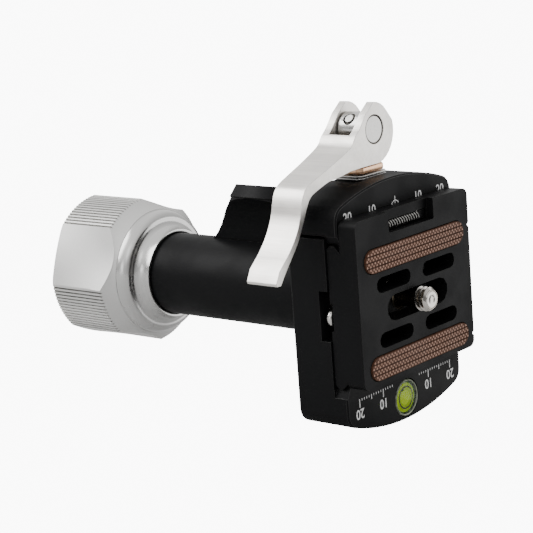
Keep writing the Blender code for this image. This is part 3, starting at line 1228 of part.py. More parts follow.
def build():
    """Model every piece and hang it from the empty on its joint's axis."""
    start_scene()
    mats = make_materials()
    base = pivot_empty("barrel_axis", None, (0, 0, 0))
    base.location = (0, 0, -BOSS_HEIGHT)
    tilt = pivot_empty("tilt_axis", base, (0, 0, 0))
    tilt.rotation_euler = (math.radians(CLAMP_TILT_DEG), 0, 0)
    knob = pivot_empty("knob_axis", tilt, (KNOB_REAR_X, 0, 0))
    jaw = pivot_empty("jaw_slide", tilt, (ROD_X, 0, SEAT_HEIGHT))
    lever = pivot_empty("lever_axis", tilt, (ROD_X, 0, PIN_HEIGHT))
    plate = pivot_empty("plate_slide", tilt, (PLATE_BACK_X, 0, PLATE_CENTRE))
    washer = pivot_empty("screw_slide", plate, (SCREW_HEAD_X, SCREW_REST, SCREW_HEIGHT))
    screw = pivot_empty("screw_axis", washer, (SCREW_HEAD_X, SCREW_REST, SCREW_HEIGHT))
    catch = pivot_empty("catch_slide", plate, (CATCH_X, WINDOW_RIGHT, CATCH_HEIGHT))

    make_housing(mats, base)
    make_base_insert(mats, base)
    make_base_reducer(mats, base)
    make_bushes(mats, base)
    make_friction_washer(mats, base)

    make_tilt_shaft(mats, tilt)
    make_drive_pins(mats, tilt)
    make_clamp_bolt(mats, tilt)
    make_thrust_stack(mats, tilt)
    make_shaft_end(mats, tilt)
    make_clamp_body(mats, tilt)
    make_guides(mats, tilt)
    make_pull_rod(mats, tilt)
    make_level(mats, tilt)

    make_tension_knob(mats, knob)
    make_knob_fittings(mats, knob)
    make_movable_jaw(mats, jaw)
    make_saddle(mats, jaw)
    make_cam_lever(mats, lever)
    make_lever_pin(mats, lever)
    make_plate(mats, plate)
    make_pads(mats, plate)
    make_stop_screws(mats, plate)
    make_camera_screw(mats, washer, screw)
    make_catch(mats, plate, catch)


build()
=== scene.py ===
"""Looks of the monopod tilt head: finishes, fine detail, studio and camera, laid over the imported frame.

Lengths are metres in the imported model's frame. The clamp's own pieces are laid out in its upright frame
(X along the barrel, Z up the clamp, measured from the barrel's axis) and tilted with CLAMP_FRAME.
"""

from __future__ import annotations

import json
import logging
import math
from dataclasses import dataclass
from enum import Enum

import bmesh
import bpy
from mathutils import Matrix, Vector

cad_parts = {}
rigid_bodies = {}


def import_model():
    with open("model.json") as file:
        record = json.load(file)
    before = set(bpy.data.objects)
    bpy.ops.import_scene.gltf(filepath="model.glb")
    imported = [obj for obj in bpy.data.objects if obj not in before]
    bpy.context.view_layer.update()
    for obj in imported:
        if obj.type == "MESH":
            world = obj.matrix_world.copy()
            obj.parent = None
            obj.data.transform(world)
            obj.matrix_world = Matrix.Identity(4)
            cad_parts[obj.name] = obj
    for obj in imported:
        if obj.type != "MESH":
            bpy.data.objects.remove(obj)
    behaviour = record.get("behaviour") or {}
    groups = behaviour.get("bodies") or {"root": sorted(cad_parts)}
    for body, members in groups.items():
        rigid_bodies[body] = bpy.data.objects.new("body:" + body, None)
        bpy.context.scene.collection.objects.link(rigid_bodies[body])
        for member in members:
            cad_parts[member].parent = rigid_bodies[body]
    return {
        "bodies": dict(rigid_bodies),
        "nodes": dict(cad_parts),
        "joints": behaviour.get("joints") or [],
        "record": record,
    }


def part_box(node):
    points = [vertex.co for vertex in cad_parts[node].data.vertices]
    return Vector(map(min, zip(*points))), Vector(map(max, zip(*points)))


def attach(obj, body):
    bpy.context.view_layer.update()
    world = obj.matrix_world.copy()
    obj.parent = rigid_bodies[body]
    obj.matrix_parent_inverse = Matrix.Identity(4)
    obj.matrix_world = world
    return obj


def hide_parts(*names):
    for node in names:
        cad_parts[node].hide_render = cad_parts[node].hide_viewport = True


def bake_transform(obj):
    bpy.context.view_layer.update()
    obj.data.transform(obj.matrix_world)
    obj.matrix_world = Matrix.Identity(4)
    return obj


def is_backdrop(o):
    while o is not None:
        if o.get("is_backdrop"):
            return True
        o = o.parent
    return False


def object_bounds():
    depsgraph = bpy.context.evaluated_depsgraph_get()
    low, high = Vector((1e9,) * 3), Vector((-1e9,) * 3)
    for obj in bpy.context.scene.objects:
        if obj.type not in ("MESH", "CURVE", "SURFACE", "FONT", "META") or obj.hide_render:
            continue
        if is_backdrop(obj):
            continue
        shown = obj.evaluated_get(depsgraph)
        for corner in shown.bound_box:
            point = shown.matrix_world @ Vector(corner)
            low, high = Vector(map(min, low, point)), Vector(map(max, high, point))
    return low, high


LOG = logging.getLogger("monopod_head")

MM = 0.001
BARREL_DROP = 0.0265
CLAMP_TILT = math.radians(13.0)
CLAMP_FRAME = Matrix.Translation((0.0, 0.0, -BARREL_DROP)) @ Matrix.Rotation(CLAMP_TILT, 4, "X")
SCREW_CENTRE = Vector((0.0, 0.5 * MM, 0.5 * MM))
MERGE = 0.000001
CUT = 0.0000001
FLAT_ANGLE = math.radians(0.5)
BREAK_ANGLE = math.radians(32.0)
GRAIN_PULL = 2.4
MARKS_PULL = 0.15
MARKS_ROUGHNESS = 0.7

Color = tuple[float, float, float]
Link = bpy.types.NodeSocket


class GrainDirection(Enum):
    """Which way the fine lines of a worked metal run."""

    NONE = "none"
    ALONG_BARREL = "along_barrel"
    ROUND_BARREL = "round_barrel"
    ROUND_SCREW = "round_screw"


class Effect(Enum):
    """The shader node groups that several finishes share."""

    BEAD_GRAIN = "bead_grain"
    BRUSHED_LINES = "brushed_lines"
    TURNED_LINES = "turned_lines"
    HANDLING = "handling"


class NodeBench:
    """Lays shader nodes out in one node tree and links them."""

    def __init__(self, tree: bpy.types.NodeTree) -> None:
        """Keep the tree that the nodes go into."""
        self.tree = tree

    def add(self, kind: str, **settings: object) -> bpy.types.Node:
        """Add a node of a kind, set its properties by name and return it."""
        node = self.tree.nodes.new(kind)
        for name, value in settings.items():
            setattr(node, name, value)
        return node

    def link(self, source: Link, target: Link) -> None:
        """Link an output to an input."""
        self.tree.links.new(source, target)

    def feed(self, slot: Link, value: Link | float) -> None:
        """Set an input to a number, or link a socket to it."""
        if isinstance(value, (int, float)):
            slot.default_value = value
        else:
            self.link(value, slot)

    def math(self, operation: str, first: Link | float, second: Link | float) -> Link:
        """Add a Math node.

        Args:
            operation: the Math node's operation.
            first: a socket or a number.
            second: a socket or a number.

        Returns:
            The node's output socket.
        """
        node = self.add("ShaderNodeMath", operation=operation)
        self.feed(node.inputs[0], first)
        self.feed(node.inputs[1], second)
        return node.outputs[0]

    def remap(self, value: Link, low: float, high: float) -> Link:
        """Spread a 0 to 1 value over another range and return its socket."""
        node = self.add("ShaderNodeMapRange")
        node.inputs["To Min"].default_value = low
        node.inputs["To Max"].default_value = high
        self.link(value, node.inputs["Value"])
        return node.outputs["Result"]

    def blend(self, mask: Link, first: Color, second: Color) -> Link:
        """Mix two colours, the first where the mask is 0, and return the socket."""
        node = self.add("ShaderNodeMix", data_type="RGBA")
        node.inputs["A"].default_value = (*first, 1.0)
        node.inputs["B"].default_value = (*second, 1.0)
        self.link(mask, node.inputs["Factor"])
        return next(out for out in node.outputs if out.type == "RGBA")

    def noise(self, vector: Link, scale: Link | float, detail: float = 2.0) -> Link:
        """Add a noise read at a vector, its scale per metre, and return its socket."""
        node = self.add("ShaderNodeTexNoise")
        self.link(vector, node.inputs["Vector"])
        self.feed(node.inputs["Scale"], scale)
        self.feed(node.inputs["Detail"], detail)
        return node.outputs[0]


class EffectLibrary:
    """Builds each shared node group once."""

    def __init__(self) -> None:
        """Start with no group made."""
        self.groups: dict[Effect, bpy.types.NodeTree] = {}

    def get(self, effect: Effect) -> bpy.types.NodeTree:
        """Return an effect's node group, made on first use.

        Args:
            effect: which effect is wanted.

        Returns:
            The effect's node group.
        """
        if effect not in self.groups:
            tree = bpy.data.node_groups.new(effect.value, "ShaderNodeTree")
            tree.interface.new_socket("Vector", in_out="INPUT", socket_type="NodeSocketVector")
            size = tree.interface.new_socket("Fineness", in_out="INPUT", socket_type="NodeSocketFloat")
            size.default_value = 1000.0
            tree.interface.new_socket("Height", in_out="OUTPUT", socket_type="NodeSocketFloat")
            tree.interface.new_socket("Tone", in_out="OUTPUT", socket_type="NodeSocketFloat")
            getattr(self, effect.value)(tree)
            self.groups[effect] = tree
        return self.groups[effect]

    @staticmethod
    def ends(tree: bpy.types.NodeTree) -> tuple[NodeBench, Link, Link, Link, Link]:
        """Add a group's end nodes: the bench, then the Vector, Fineness, Height and Tone sockets."""
        bench = NodeBench(tree)
        entry = bench.add("NodeGroupInput")
        leave = bench.add("NodeGroupOutput")
        return (bench, entry.outputs["Vector"], entry.outputs["Fineness"], leave.inputs["Height"],
                leave.inputs["Tone"])

    @staticmethod
    def layers(bench: NodeBench, place: Link, fineness: Link, share: float, height: Link, tone: Link) -> None:
        """Feed the height from fine noise, and the tone from that and a noise finer by a share."""
        fine = bench.noise(place, fineness)
        broad = bench.noise(place, bench.math("MULTIPLY", fineness, share))
        bench.link(fine, height)
        bench.link(bench.math("MULTIPLY", bench.math("ADD", fine, broad), 0.5), tone)

    def bead_grain(self, tree: bpy.types.NodeTree) -> None:
        """Fine pits of a blasted surface, with a soft fleck in its tone."""
        bench, vector, fineness, height, tone = self.ends(tree)
        pits = bench.noise(vector, fineness, 3.0)
        bench.link(pits, height)
        fleck = bench.noise(vector, bench.math("MULTIPLY", fineness, 0.35))
        bench.link(bench.math("MULTIPLY", bench.math("ADD", fleck, pits), 0.5), tone)

    def brushed_lines(self, tree: bpy.types.NodeTree) -> None:
        """Fine straight lines along X, broken up along their length."""
        bench, vector, fineness, height, tone = self.ends(tree)
        stretch = bench.add("ShaderNodeMapping", vector_type="POINT")
        stretch.inputs["Scale"].default_value = (0.02, 1.0, 1.0)
        bench.link(vector, stretch.inputs["Vector"])
        self.layers(bench, stretch.outputs["Vector"], fineness, 0.22, height, tone)

    def turned_lines(self, tree: bpy.types.NodeTree) -> None:
        """Lathe lines: rings about the X axis through the vector's origin."""
        bench, vector, fineness, height, tone = self.ends(tree)
        parts = bench.add("ShaderNodeSeparateXYZ")
        bench.link(vector, parts.inputs["Vector"])
        flat = bench.add("ShaderNodeCombineXYZ")
        bench.link(parts.outputs["Y"], flat.inputs["Y"])
        bench.link(parts.outputs["Z"], flat.inputs["Z"])
        length = bench.add("ShaderNodeVectorMath", operation="LENGTH")
        bench.link(flat.outputs["Vector"], length.inputs[0])
        ring = bench.add("ShaderNodeCombineXYZ")
        bench.link(length.outputs["Value"], ring.inputs["X"])
        bench.link(parts.outputs["X"], ring.inputs["Y"])
        self.layers(bench, ring.outputs["Vector"], fineness, 0.2, height, tone)

    def handling(self, tree: bpy.types.NodeTree) -> None:
        """Soft clouds where hands have polished or dulled the surface."""
        bench, vector, fineness, height, tone = self.ends(tree)
        cloud = bench.noise(vector, fineness, 4.0)
        bench.link(cloud, height)
        ramp = bench.add("ShaderNodeMapRange", interpolation_type="SMOOTHSTEP")
        ramp.inputs["From Min"].default_value = 0.38
        ramp.inputs["From Max"].default_value = 0.66
        bench.link(cloud, ramp.inputs["Value"])
        bench.link(ramp.outputs["Result"], tone)


@dataclass(frozen=True)
class Finish:
    """One surface finish, made as a Principled material with grain and handling marks.

    Args:
        name: the material's name.
        slot: the record's material slot that it belongs to; not used.
        color: the base colour.
        accent: the colour that the grain and the handling marks lean to.
        metallic: 1 for bare metal, 0 for the rest.
        roughness: the lowest and highest roughness.
        effect: the grain that shapes the surface.
        fineness: the grain's fineness, per metre.
        depth: the grain's depth in metres.
        direction: which way the grain's lines run.
        specular: the shader's specular level.
        coat: the shader's coat weight.
        transmission: the shader's transmission weight.
        ior: the shader's index of refraction.
        tone_gain: how strongly the grain pulls the colour to the accent.
        patch: the fineness of the handling marks, per metre.
    """

    name: str
    slot: str
    color: Color
    accent: Color
    metallic: float
    roughness: tuple[float, float]
    effect: Effect = Effect.BEAD_GRAIN
    fineness: float = 6000.0
    depth: float = 0.00001
    direction: GrainDirection = GrainDirection.NONE
    specular: float = 0.5
    coat: float = 0.0
    transmission: float = 0.0
    ior: float = 1.5
    tone_gain: float = 1.0
    patch: float = 90.0

    def build(self, effects: EffectLibrary) -> bpy.types.Material:
        """Make the material.

        Args:
            effects: the library that the shared node groups come from.

        Returns:
            The finished material.
        """
        material = bpy.data.materials.new(self.name)
        material.use_nodes = True
        tree = material.node_tree
        tree.nodes.clear()
        bench = NodeBench(tree)
        shader = bench.add("ShaderNodeBsdfPrincipled")
        output = bench.add("ShaderNodeOutputMaterial")
        bench.link(shader.outputs["BSDF"], output.inputs["Surface"])
        for name, number in (("Metallic", self.metallic), ("Specular IOR Level", self.specular),
                             ("IOR", self.ior), ("Coat Weight", self.coat),
                             ("Transmission Weight", self.transmission)):
            shader.inputs[name].default_value = number
        vector = self.place(bench)
        grain = self.group(bench, effects, self.effect, vector, self.fineness)
        marks = self.group(bench, effects, Effect.HANDLING, vector, self.patch)
        lean = bench.math("SUBTRACT", grain.outputs["Tone"], 0.5)
        mask = bench.math("ADD", bench.math("MULTIPLY", lean, GRAIN_PULL * self.tone_gain), 0.5)
        mask = bench.math("ADD", mask, bench.math("MULTIPLY", marks.outputs["Tone"], MARKS_PULL))
        clamp = bench.add("ShaderNodeClamp")
        bench.link(mask, clamp.inputs["Value"])
        bench.link(bench.blend(clamp.outputs["Result"], self.color, self.accent), shader.inputs["Base Color"])
        rough = bench.math("ADD", bench.math("MULTIPLY", marks.outputs["Tone"], MARKS_ROUGHNESS),
                           bench.math("MULTIPLY", grain.outputs["Tone"], 1.0 - MARKS_ROUGHNESS))
        bench.link(bench.remap(rough, *self.roughness), shader.inputs["Roughness"])
        bump = bench.add("ShaderNodeBump")
        bump.inputs["Strength"].default_value = 1.0
        bump.inputs["Distance"].default_value = self.depth
        bench.link(grain.outputs["Height"], bump.inputs["Height"])
        bench.link(bump.outputs["Normal"], shader.inputs["Normal"])
        return material

    def place(self, bench: NodeBench) -> Link:
        """Give the vector that the grain is read at, centred where its lines run round."""
        coordinates = bench.add("ShaderNodeTexCoord")
        if self.direction in (GrainDirection.NONE, GrainDirection.ALONG_BARREL):
            return coordinates.outputs["Object"]
        mapping = bench.add("ShaderNodeMapping", vector_type="TEXTURE")
        centre = SCREW_CENTRE if self.direction is GrainDirection.ROUND_SCREW else Vector()
        mapping.inputs["Location"].default_value = CLAMP_FRAME @ centre
        mapping.inputs["Rotation"].default_value = (CLAMP_TILT, 0.0, 0.0)
        bench.link(coordinates.outputs["Object"], mapping.inputs["Vector"])
        return mapping.outputs["Vector"]

    @staticmethod
    def group(bench: NodeBench, effects: EffectLibrary, effect: Effect, vector: Link,
              fineness: float) -> bpy.types.Node:
        """Place a shared node group in the material.

        Args:
            bench: the material's node bench.
            effects: the library that the group comes from.
            effect: which group it is.
            vector: the socket that gives its place.
            fineness: its fineness, per metre.

        Returns:
            The group's node.
        """
        node = bench.add("ShaderNodeGroup")
        node.node_tree = effects.get(effect)
        node.inputs["Fineness"].default_value = fineness
        bench.link(vector, node.inputs["Vector"])
        return node


BLACK_ANODISED = Finish("black_anodised", "black_anodised", (0.0034, 0.0034, 0.0038),
                        (0.0054, 0.0054, 0.0058), 0.0, (0.42, 0.56), fineness=9000.0, depth=0.000006,
                        specular=0.10)
# Painted highlight: a lighter, glossier black on the black parts' broken edges, standing in for the light
# that catches them.
BLACK_EDGE_HIGHLIGHT = Finish("black_anodised_edge_painted_highlight", "black_anodised", (0.022, 0.022, 0.022), (0.040, 0.040, 0.038),
                    0.3, (0.26, 0.38), fineness=9000.0, depth=0.000004, specular=0.4)
SATIN_ALUMINIUM = Finish("satin_aluminium", "satin_aluminium", (0.54, 0.535, 0.525), (0.68, 0.675, 0.66), 1.0,
                         (0.20, 0.32), Effect.TURNED_LINES, 5200.0, 0.0000022, GrainDirection.ROUND_BARREL)
BLASTED_ALUMINIUM = Finish("blasted_aluminium", "satin_aluminium", (0.66, 0.655, 0.64), (0.76, 0.755, 0.74),
                           1.0, (0.46, 0.52), fineness=9000.0, depth=0.000004)
# Painted shade: a darker copy of the satin aluminium for the knurl grooves' faces, standing in for the shade
# in the grooves.
KNURL_SHADE = Finish("satin_aluminium_groove_painted_shade", "satin_aluminium", (0.30, 0.295, 0.285), (0.42, 0.415, 0.40),
                     1.0, (0.34, 0.46), Effect.TURNED_LINES, 5200.0, 0.0000022, GrainDirection.ROUND_BARREL)
BRUSHED_LEVER = Finish("brushed_lever_steel", "brushed_steel", (0.76, 0.73, 0.69), (0.97, 0.94, 0.895), 1.0,
                       (0.30, 0.46), Effect.BRUSHED_LINES, 4200.0, 0.0000040, GrainDirection.ALONG_BARREL)
PLAIN_STEEL = Finish("plain_steel", "brushed_steel", (0.56, 0.55, 0.53), (0.68, 0.67, 0.65), 1.0,
                     (0.20, 0.34), fineness=7000.0, depth=0.000002)
TURNED_STEEL = Finish("turned_steel", "brushed_steel", (0.60, 0.585, 0.56), (0.76, 0.74, 0.71), 1.0,
                      (0.18, 0.30), Effect.TURNED_LINES, 4200.0, 0.000003, GrainDirection.ROUND_BARREL)
SCREW_STEEL = Finish("screw_steel", "brushed_steel", (0.50, 0.47, 0.43), (0.80, 0.77, 0.72), 1.0,
                     (0.16, 0.28), Effect.TURNED_LINES, 2600.0, 0.000012, GrainDirection.ROUND_SCREW)
COPPER_BRONZE = Finish("copper_bronze", "copper_bronze", (0.95, 0.52, 0.29), (1.0, 0.70, 0.47), 1.0,
                       (0.24, 0.36), Effect.BRUSHED_LINES, 3000.0, 0.000002, GrainDirection.ALONG_BARREL)
SINTERED_BRONZE = Finish("sintered_bronze", "bronze_bush", (0.40, 0.24, 0.10), (0.52, 0.33, 0.16), 1.0,
                         (0.42, 0.60), fineness=5000.0, depth=0.000008)
WHITE_ACETAL = Finish("white_acetal", "acetal_white", (0.70, 0.69, 0.65), (0.76, 0.75, 0.71), 0.0,
                      (0.42, 0.55), fineness=3000.0, depth=0.000003)
BLACK_OXIDE = Finish("black_oxide", "black_oxide", (0.006, 0.006, 0.006), (0.014, 0.013, 0.012), 0.3,
                     (0.34, 0.50), fineness=6000.0, depth=0.000005, specular=0.3)
BROWN_RUBBER = Finish("brown_rubber", "brown_rubber", (0.072, 0.029, 0.015), (0.100, 0.042, 0.023), 0.0,
                      (0.60, 0.76), fineness=7000.0, depth=0.000014, specular=0.25)
# Painted shade: a near-black copy of the pad rubber for the groove floors, standing in for the shade inside
# the grooves.
RUBBER_GROOVE_SHADE = Finish("brown_rubber_groove_painted_shade", "brown_rubber", (0.020, 0.010, 0.007), (0.034, 0.017, 0.012),
                       0.0, (0.70, 0.85), fineness=7000.0, depth=0.000008, specular=0.15)
# Painted highlight: a lighter, pinker copy of the pad rubber for the raised dots, standing in for the light
# on their domes.
RUBBER_DOT_HIGHLIGHT = Finish("brown_rubber_dots_painted_highlight", "brown_rubber", (0.30, 0.155, 0.105), (0.48, 0.305, 0.235), 0.0,
                     (0.44, 0.58), fineness=2600.0, depth=0.000006, specular=0.35)
WHITE_PRINT = Finish("white_print", "black_anodised", (0.86, 0.86, 0.85), (0.93, 0.93, 0.92), 0.0,
                     (0.45, 0.6), fineness=9000.0, depth=0.000002)
CLEAR_CUP = Finish("clear_cup", "clear_acrylic", (0.86, 0.88, 0.84), (0.92, 0.93, 0.90), 0.0,
                   (0.04, 0.10), fineness=900.0, depth=0.0000005, specular=0.5, transmission=1.0, ior=1.12)
GREEN_LIQUID = Finish("green_liquid", "green_liquid", (0.40, 0.60, 0.0), (0.50, 0.72, 0.002), 0.0,
                      (0.12, 0.20), fineness=500.0, depth=0.0000005, specular=0.06)
GREEN_LIGHT = Finish("green_liquid_light", "green_liquid", (0.56, 0.80, 0.002), (0.66, 0.90, 0.01), 0.0,
                     (0.10, 0.18), fineness=500.0, depth=0.0000005, specular=0.06)
# Painted shade and painted reflection: a dark green for the sheet behind the level's liquid, which shows as a
# shaded crescent, and for a small spot at the bubble's edge.
GREEN_SHADE_AND_REFLECTION = Finish("green_liquid_painted_shade_and_reflection", "green_liquid", (0.035, 0.11, 0.006), (0.06, 0.16, 0.010), 0.0,
                     (0.12, 0.2), fineness=500.0, depth=0.0000005, specular=0.06)
# Painted shade and painted reflection: a dark, warm steel for the screw's neck and thread core, standing in
# for the shade between the turns and in the slot and for warm light reflected onto the neck.
SCREW_CORE_SHADE_AND_REFLECTION = Finish("screw_core_painted_shade_and_reflection", "brushed_steel", (0.10, 0.085, 0.060), (0.20, 0.165, 0.115), 1.0,
                    (0.30, 0.42), fineness=5000.0, depth=0.000002)
CUP_RIM = Finish("clear_cup_rim", "clear_acrylic", (0.05, 0.065, 0.035), (0.40, 0.43, 0.33), 0.0,
                 (0.08, 0.16), fineness=700.0, depth=0.000002, specular=0.5, coat=0.5, tone_gain=1.6)
# Painted shade: the spring's steel is darkened to stand in for the shade of the plate's pocket around it.
SPRING_STEEL_SHADE = Finish("spring_steel_painted_shade", "brushed_steel", (0.30, 0.295, 0.28), (0.44, 0.43, 0.41), 1.0,
                      (0.24, 0.36), fineness=5000.0, depth=0.000002)
PALE_FLOOR = Finish("pale_floor", "", (0.52, 0.52, 0.52), (0.56, 0.56, 0.56), 0.0,
                    (0.7, 0.8), fineness=60.0, depth=0.00002, patch=3.0)


class Workshop:
    """Holds the loaded frame and the finishes, and turns finished meshes into pieces."""

    def __init__(self, frame: dict) -> None:
        self.frame = frame
        self.effects = EffectLibrary()
        self.finishes: dict[str, bpy.types.Material] = {}

    def finish(self, finish: Finish) -> bpy.types.Material:
        """Return a finish's material, made on first use."""
        if finish.name not in self.finishes:
            self.finishes[finish.name] = finish.build(self.effects)
        return self.finishes[finish.name]

    def upright_box(self, node: str) -> tuple[Vector, Vector]:
        """Give a CAD node's lowest and highest corners in the clamp's upright frame."""
        inverse = CLAMP_FRAME.inverted()
        points = [inverse @ vertex.co for vertex in self.frame["nodes"][node].data.vertices]
        low = Vector([min(point[axis] for point in points) for axis in range(3)])
        high = Vector([max(point[axis] for point in points) for axis in range(3)])
        return low, high

    def merged_copy(self, node: str) -> bmesh.types.BMesh:
        """Copy a CAD node's mesh into a bmesh, with its loose triangles joined."""
        bm = bmesh.new()
        bm.from_mesh(self.frame["nodes"][node].data)
        bmesh.ops.remove_doubles(bm, verts=bm.verts, dist=MERGE)
        bmesh.ops.dissolve_limit(bm, angle_limit=FLAT_ANGLE, verts=bm.verts, edges=bm.edges)
        return bm

    def piece(self, name: str, bm: bmesh.types.BMesh, finishes: tuple[Finish, ...], body: str,
              replaces: tuple[str, ...] = (), smooth_deg: float = 35.0) -> bpy.types.Object:
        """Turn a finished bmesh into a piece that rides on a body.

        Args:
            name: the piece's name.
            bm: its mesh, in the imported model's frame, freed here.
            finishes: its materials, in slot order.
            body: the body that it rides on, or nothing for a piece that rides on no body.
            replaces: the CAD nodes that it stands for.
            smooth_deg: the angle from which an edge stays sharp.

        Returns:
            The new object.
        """
        mesh = bpy.data.meshes.new(name)
        bm.to_mesh(mesh)
        bm.free()
        for finish in finishes:
            mesh.materials.append(self.finish(finish))
        mesh.shade_smooth()
        mesh.set_sharp_from_angle(angle=math.radians(smooth_deg))
        obj = bpy.data.objects.new(name, mesh)
        bpy.context.scene.collection.objects.link(obj)
        if body:
            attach(obj, body)
        if replaces:
            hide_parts(*replaces)
        LOG.info("piece %s: %d faces on %s", name, len(mesh.polygons), body)
        return obj

    @staticmethod
    def spin(profile: list[tuple[float, float]], place: Matrix, steps: int = 48) -> bmesh.types.BMesh:
        """Turn a profile of (x, radius) points about the X axis.

        Args:
            profile: the points, from the axis out and back, or closed on itself for a ring.
            place: where the turned shape goes.
            steps: how many faces go round it.

        Returns:
            The mesh with the closed shape in it.
        """
        bm = bmesh.new()
        points = [bm.verts.new((x, radius, 0.0)) for x, radius in profile]
        edges = [bm.edges.new(pair) for pair in zip(points, points[1:])]
        bmesh.ops.spin(bm, geom=points + edges, axis=(1.0, 0.0, 0.0), angle=math.tau, steps=steps,
                       use_merge=True)
        bmesh.ops.remove_doubles(bm, verts=bm.verts, dist=2 * MERGE)
        bmesh.ops.recalc_face_normals(bm, faces=bm.faces)
        bm.transform(place)
        return bm

    def turned(self, name: str, stations: list[tuple[float, float]], place: Matrix, finish: Finish, body: str,
               replaces: tuple[str, ...] = (), steps: int = 48) -> None:
        """Turn a profile, in millimetres, into a piece.

        Args:
            name: the piece's name.
            stations: the profile's (x, radius) points, in millimetres.
            place: where the turned shape goes.
            finish: its finish.
            body: the body that it rides on.
            replaces: the CAD nodes that it stands for.
            steps: how many faces go round it.
        """
        self.piece(name, self.spin(self.metres(stations), place, steps), (finish,), body, replaces)

    @staticmethod
    def metres(stations: list[tuple[float, float]]) -> list[tuple[float, float]]:
        """Turn points from millimetres into metres."""
        return [(x * MM, radius * MM) for x, radius in stations]

    @staticmethod
    def join(bm: bmesh.types.BMesh, into: bmesh.types.BMesh) -> bmesh.types.BMesh:
        """Move one mesh's shapes into another mesh and return it."""
        carrier = bpy.data.meshes.new("carrier")
        bm.to_mesh(carrier)
        bm.free()
        into.from_mesh(carrier)
        bpy.data.meshes.remove(carrier)
        return into

    @staticmethod
    def wind(bm: bmesh.types.BMesh, axis: tuple[float, float, float], climb: float, turns: float,
             steps: int) -> None:
        """Wind a mesh's one face round an axis into a closed coil.

        Args:
            bm: the mesh.
            axis: the coil's axis, through the origin.
            climb: how far the coil runs along it.
            turns: how often it goes round.
            steps: how many pieces it is made of.
        """
        bmesh.ops.spin(bm, geom=bm.verts[:] + bm.edges[:] + bm.faces[:], axis=axis,
                       dvec=Vector(axis) * climb / steps, angle=math.tau * turns, steps=steps)
        bmesh.ops.holes_fill(bm, edges=[edge for edge in bm.edges if edge.is_boundary], sides=0)
        bmesh.ops.recalc_face_normals(bm, faces=bm.faces)

    def dress(self, node: str, finish: Finish, bevel: float, edge: Finish | None = None,
              segments: int = 2) -> None:
        """Give a CAD node its finish, and broken edges.

        Args:
            node: the CAD node's name.
            finish: its finish.
            bevel: the width of the broken edges, or 0 to leave them sharp.
            edge: the finish of its broken edges, such as the black parts' painted edge highlight, or None for
                the same.
            segments: how many steps the broken edges have.
        """
        obj = self.frame["nodes"][node]
        mesh = obj.data
        mesh.materials.clear()
        mesh.materials.append(self.finish(finish))
        mesh.materials.append(self.finish(edge or finish))
        mesh.shade_smooth()
        weld = obj.modifiers.new("join_faces", "WELD")
        weld.merge_threshold = MERGE
        flatten = obj.modifiers.new("join_flats", "DECIMATE")
        flatten.decimate_type = "DISSOLVE"
        flatten.angle_limit = FLAT_ANGLE
        if bevel > 0.0:
            broken = obj.modifiers.new("broken_edges", "BEVEL")
            broken.width = bevel
            broken.segments = segments
            broken.limit_method = "ANGLE"
            broken.angle_limit = BREAK_ANGLE
            broken.harden_normals = True
            broken.use_clamp_overlap = True
            # The bevel's faces take material slot 1, which on the black parts is a painted edge highlight.
            broken.material = 1
        even = obj.modifiers.new("even_shading", "WEIGHTED_NORMAL")
        even.keep_sharp = True
        LOG.info("node %s dressed in %s", node, finish.name)


@dataclass
class Detail:
    """A group of pieces that one workshop makes."""

    shop: Workshop


@dataclass
class NodeDress(Detail):
    """The finishes and broken edges of the CAD nodes that stay as they are; the black parts' broken edges
    carry a painted highlight.
    """

    table: tuple[tuple[Finish, float, str], ...] = (
        (PLAIN_STEEL, 0.00015, "base_insert base_reducer"),
        (PLAIN_STEEL, 0.0001, "drive_pin_left drive_pin_right end_washer guide_pin_left guide_pin_right"),
        (PLAIN_STEEL, 0.0001, "pin_grub_screw"),
        (PLAIN_STEEL, 0.0, "disc_spring_front disc_spring_rear jaw_spring_left jaw_spring_right"),
        (PLAIN_STEEL, 0.0002, "knob_nut anchor_nut lever_pin"),
        (PLAIN_STEEL, 0.0003, "pull_rod"),
        (PLAIN_STEEL, 0.00008, "lower_shim upper_shim"),
        (TURNED_STEEL, 0.0002, "tilt_shaft"),
        (TURNED_STEEL, 0.0, "stop_screw_left stop_screw_right"),
        (SATIN_ALUMINIUM, 0.0002, "knob_cap"),
        (COPPER_BRONZE, 0.0, "fold_ring"),
        (SINTERED_BRONZE, 0.0002, "front_bush rear_bush"),
        (WHITE_ACETAL, 0.0001, "friction_washer thrust_washer"),
        (BLACK_OXIDE, 0.0001, "clamp_bolt end_screw screw_washer"),
    )
    black: tuple[tuple[str, float], ...] = (
        ("housing", 0.00030), ("clamp_body", 0.00035), ("movable_jaw", 0.00035),
        ("quick_release_plate", 0.00030), ("catch_slider", 0.00012),
    )

    def build(self) -> None:
        """Dress every CAD node that stays."""
        for node, bevel in self.black:
            # The black parts' broken edges get a painted highlight.
            self.shop.dress(node, BLACK_ANODISED, bevel, BLACK_EDGE_HIGHLIGHT)
        for finish, bevel, nodes in self.table:
            for node in nodes.split():
                self.shop.dress(node, finish, bevel)
        self.shop.dress("cam_lever", BRUSHED_LEVER, 0.0004, segments=1)
        self.shop.dress("cam_saddle", COPPER_BRONZE, 0.0003, segments=1)


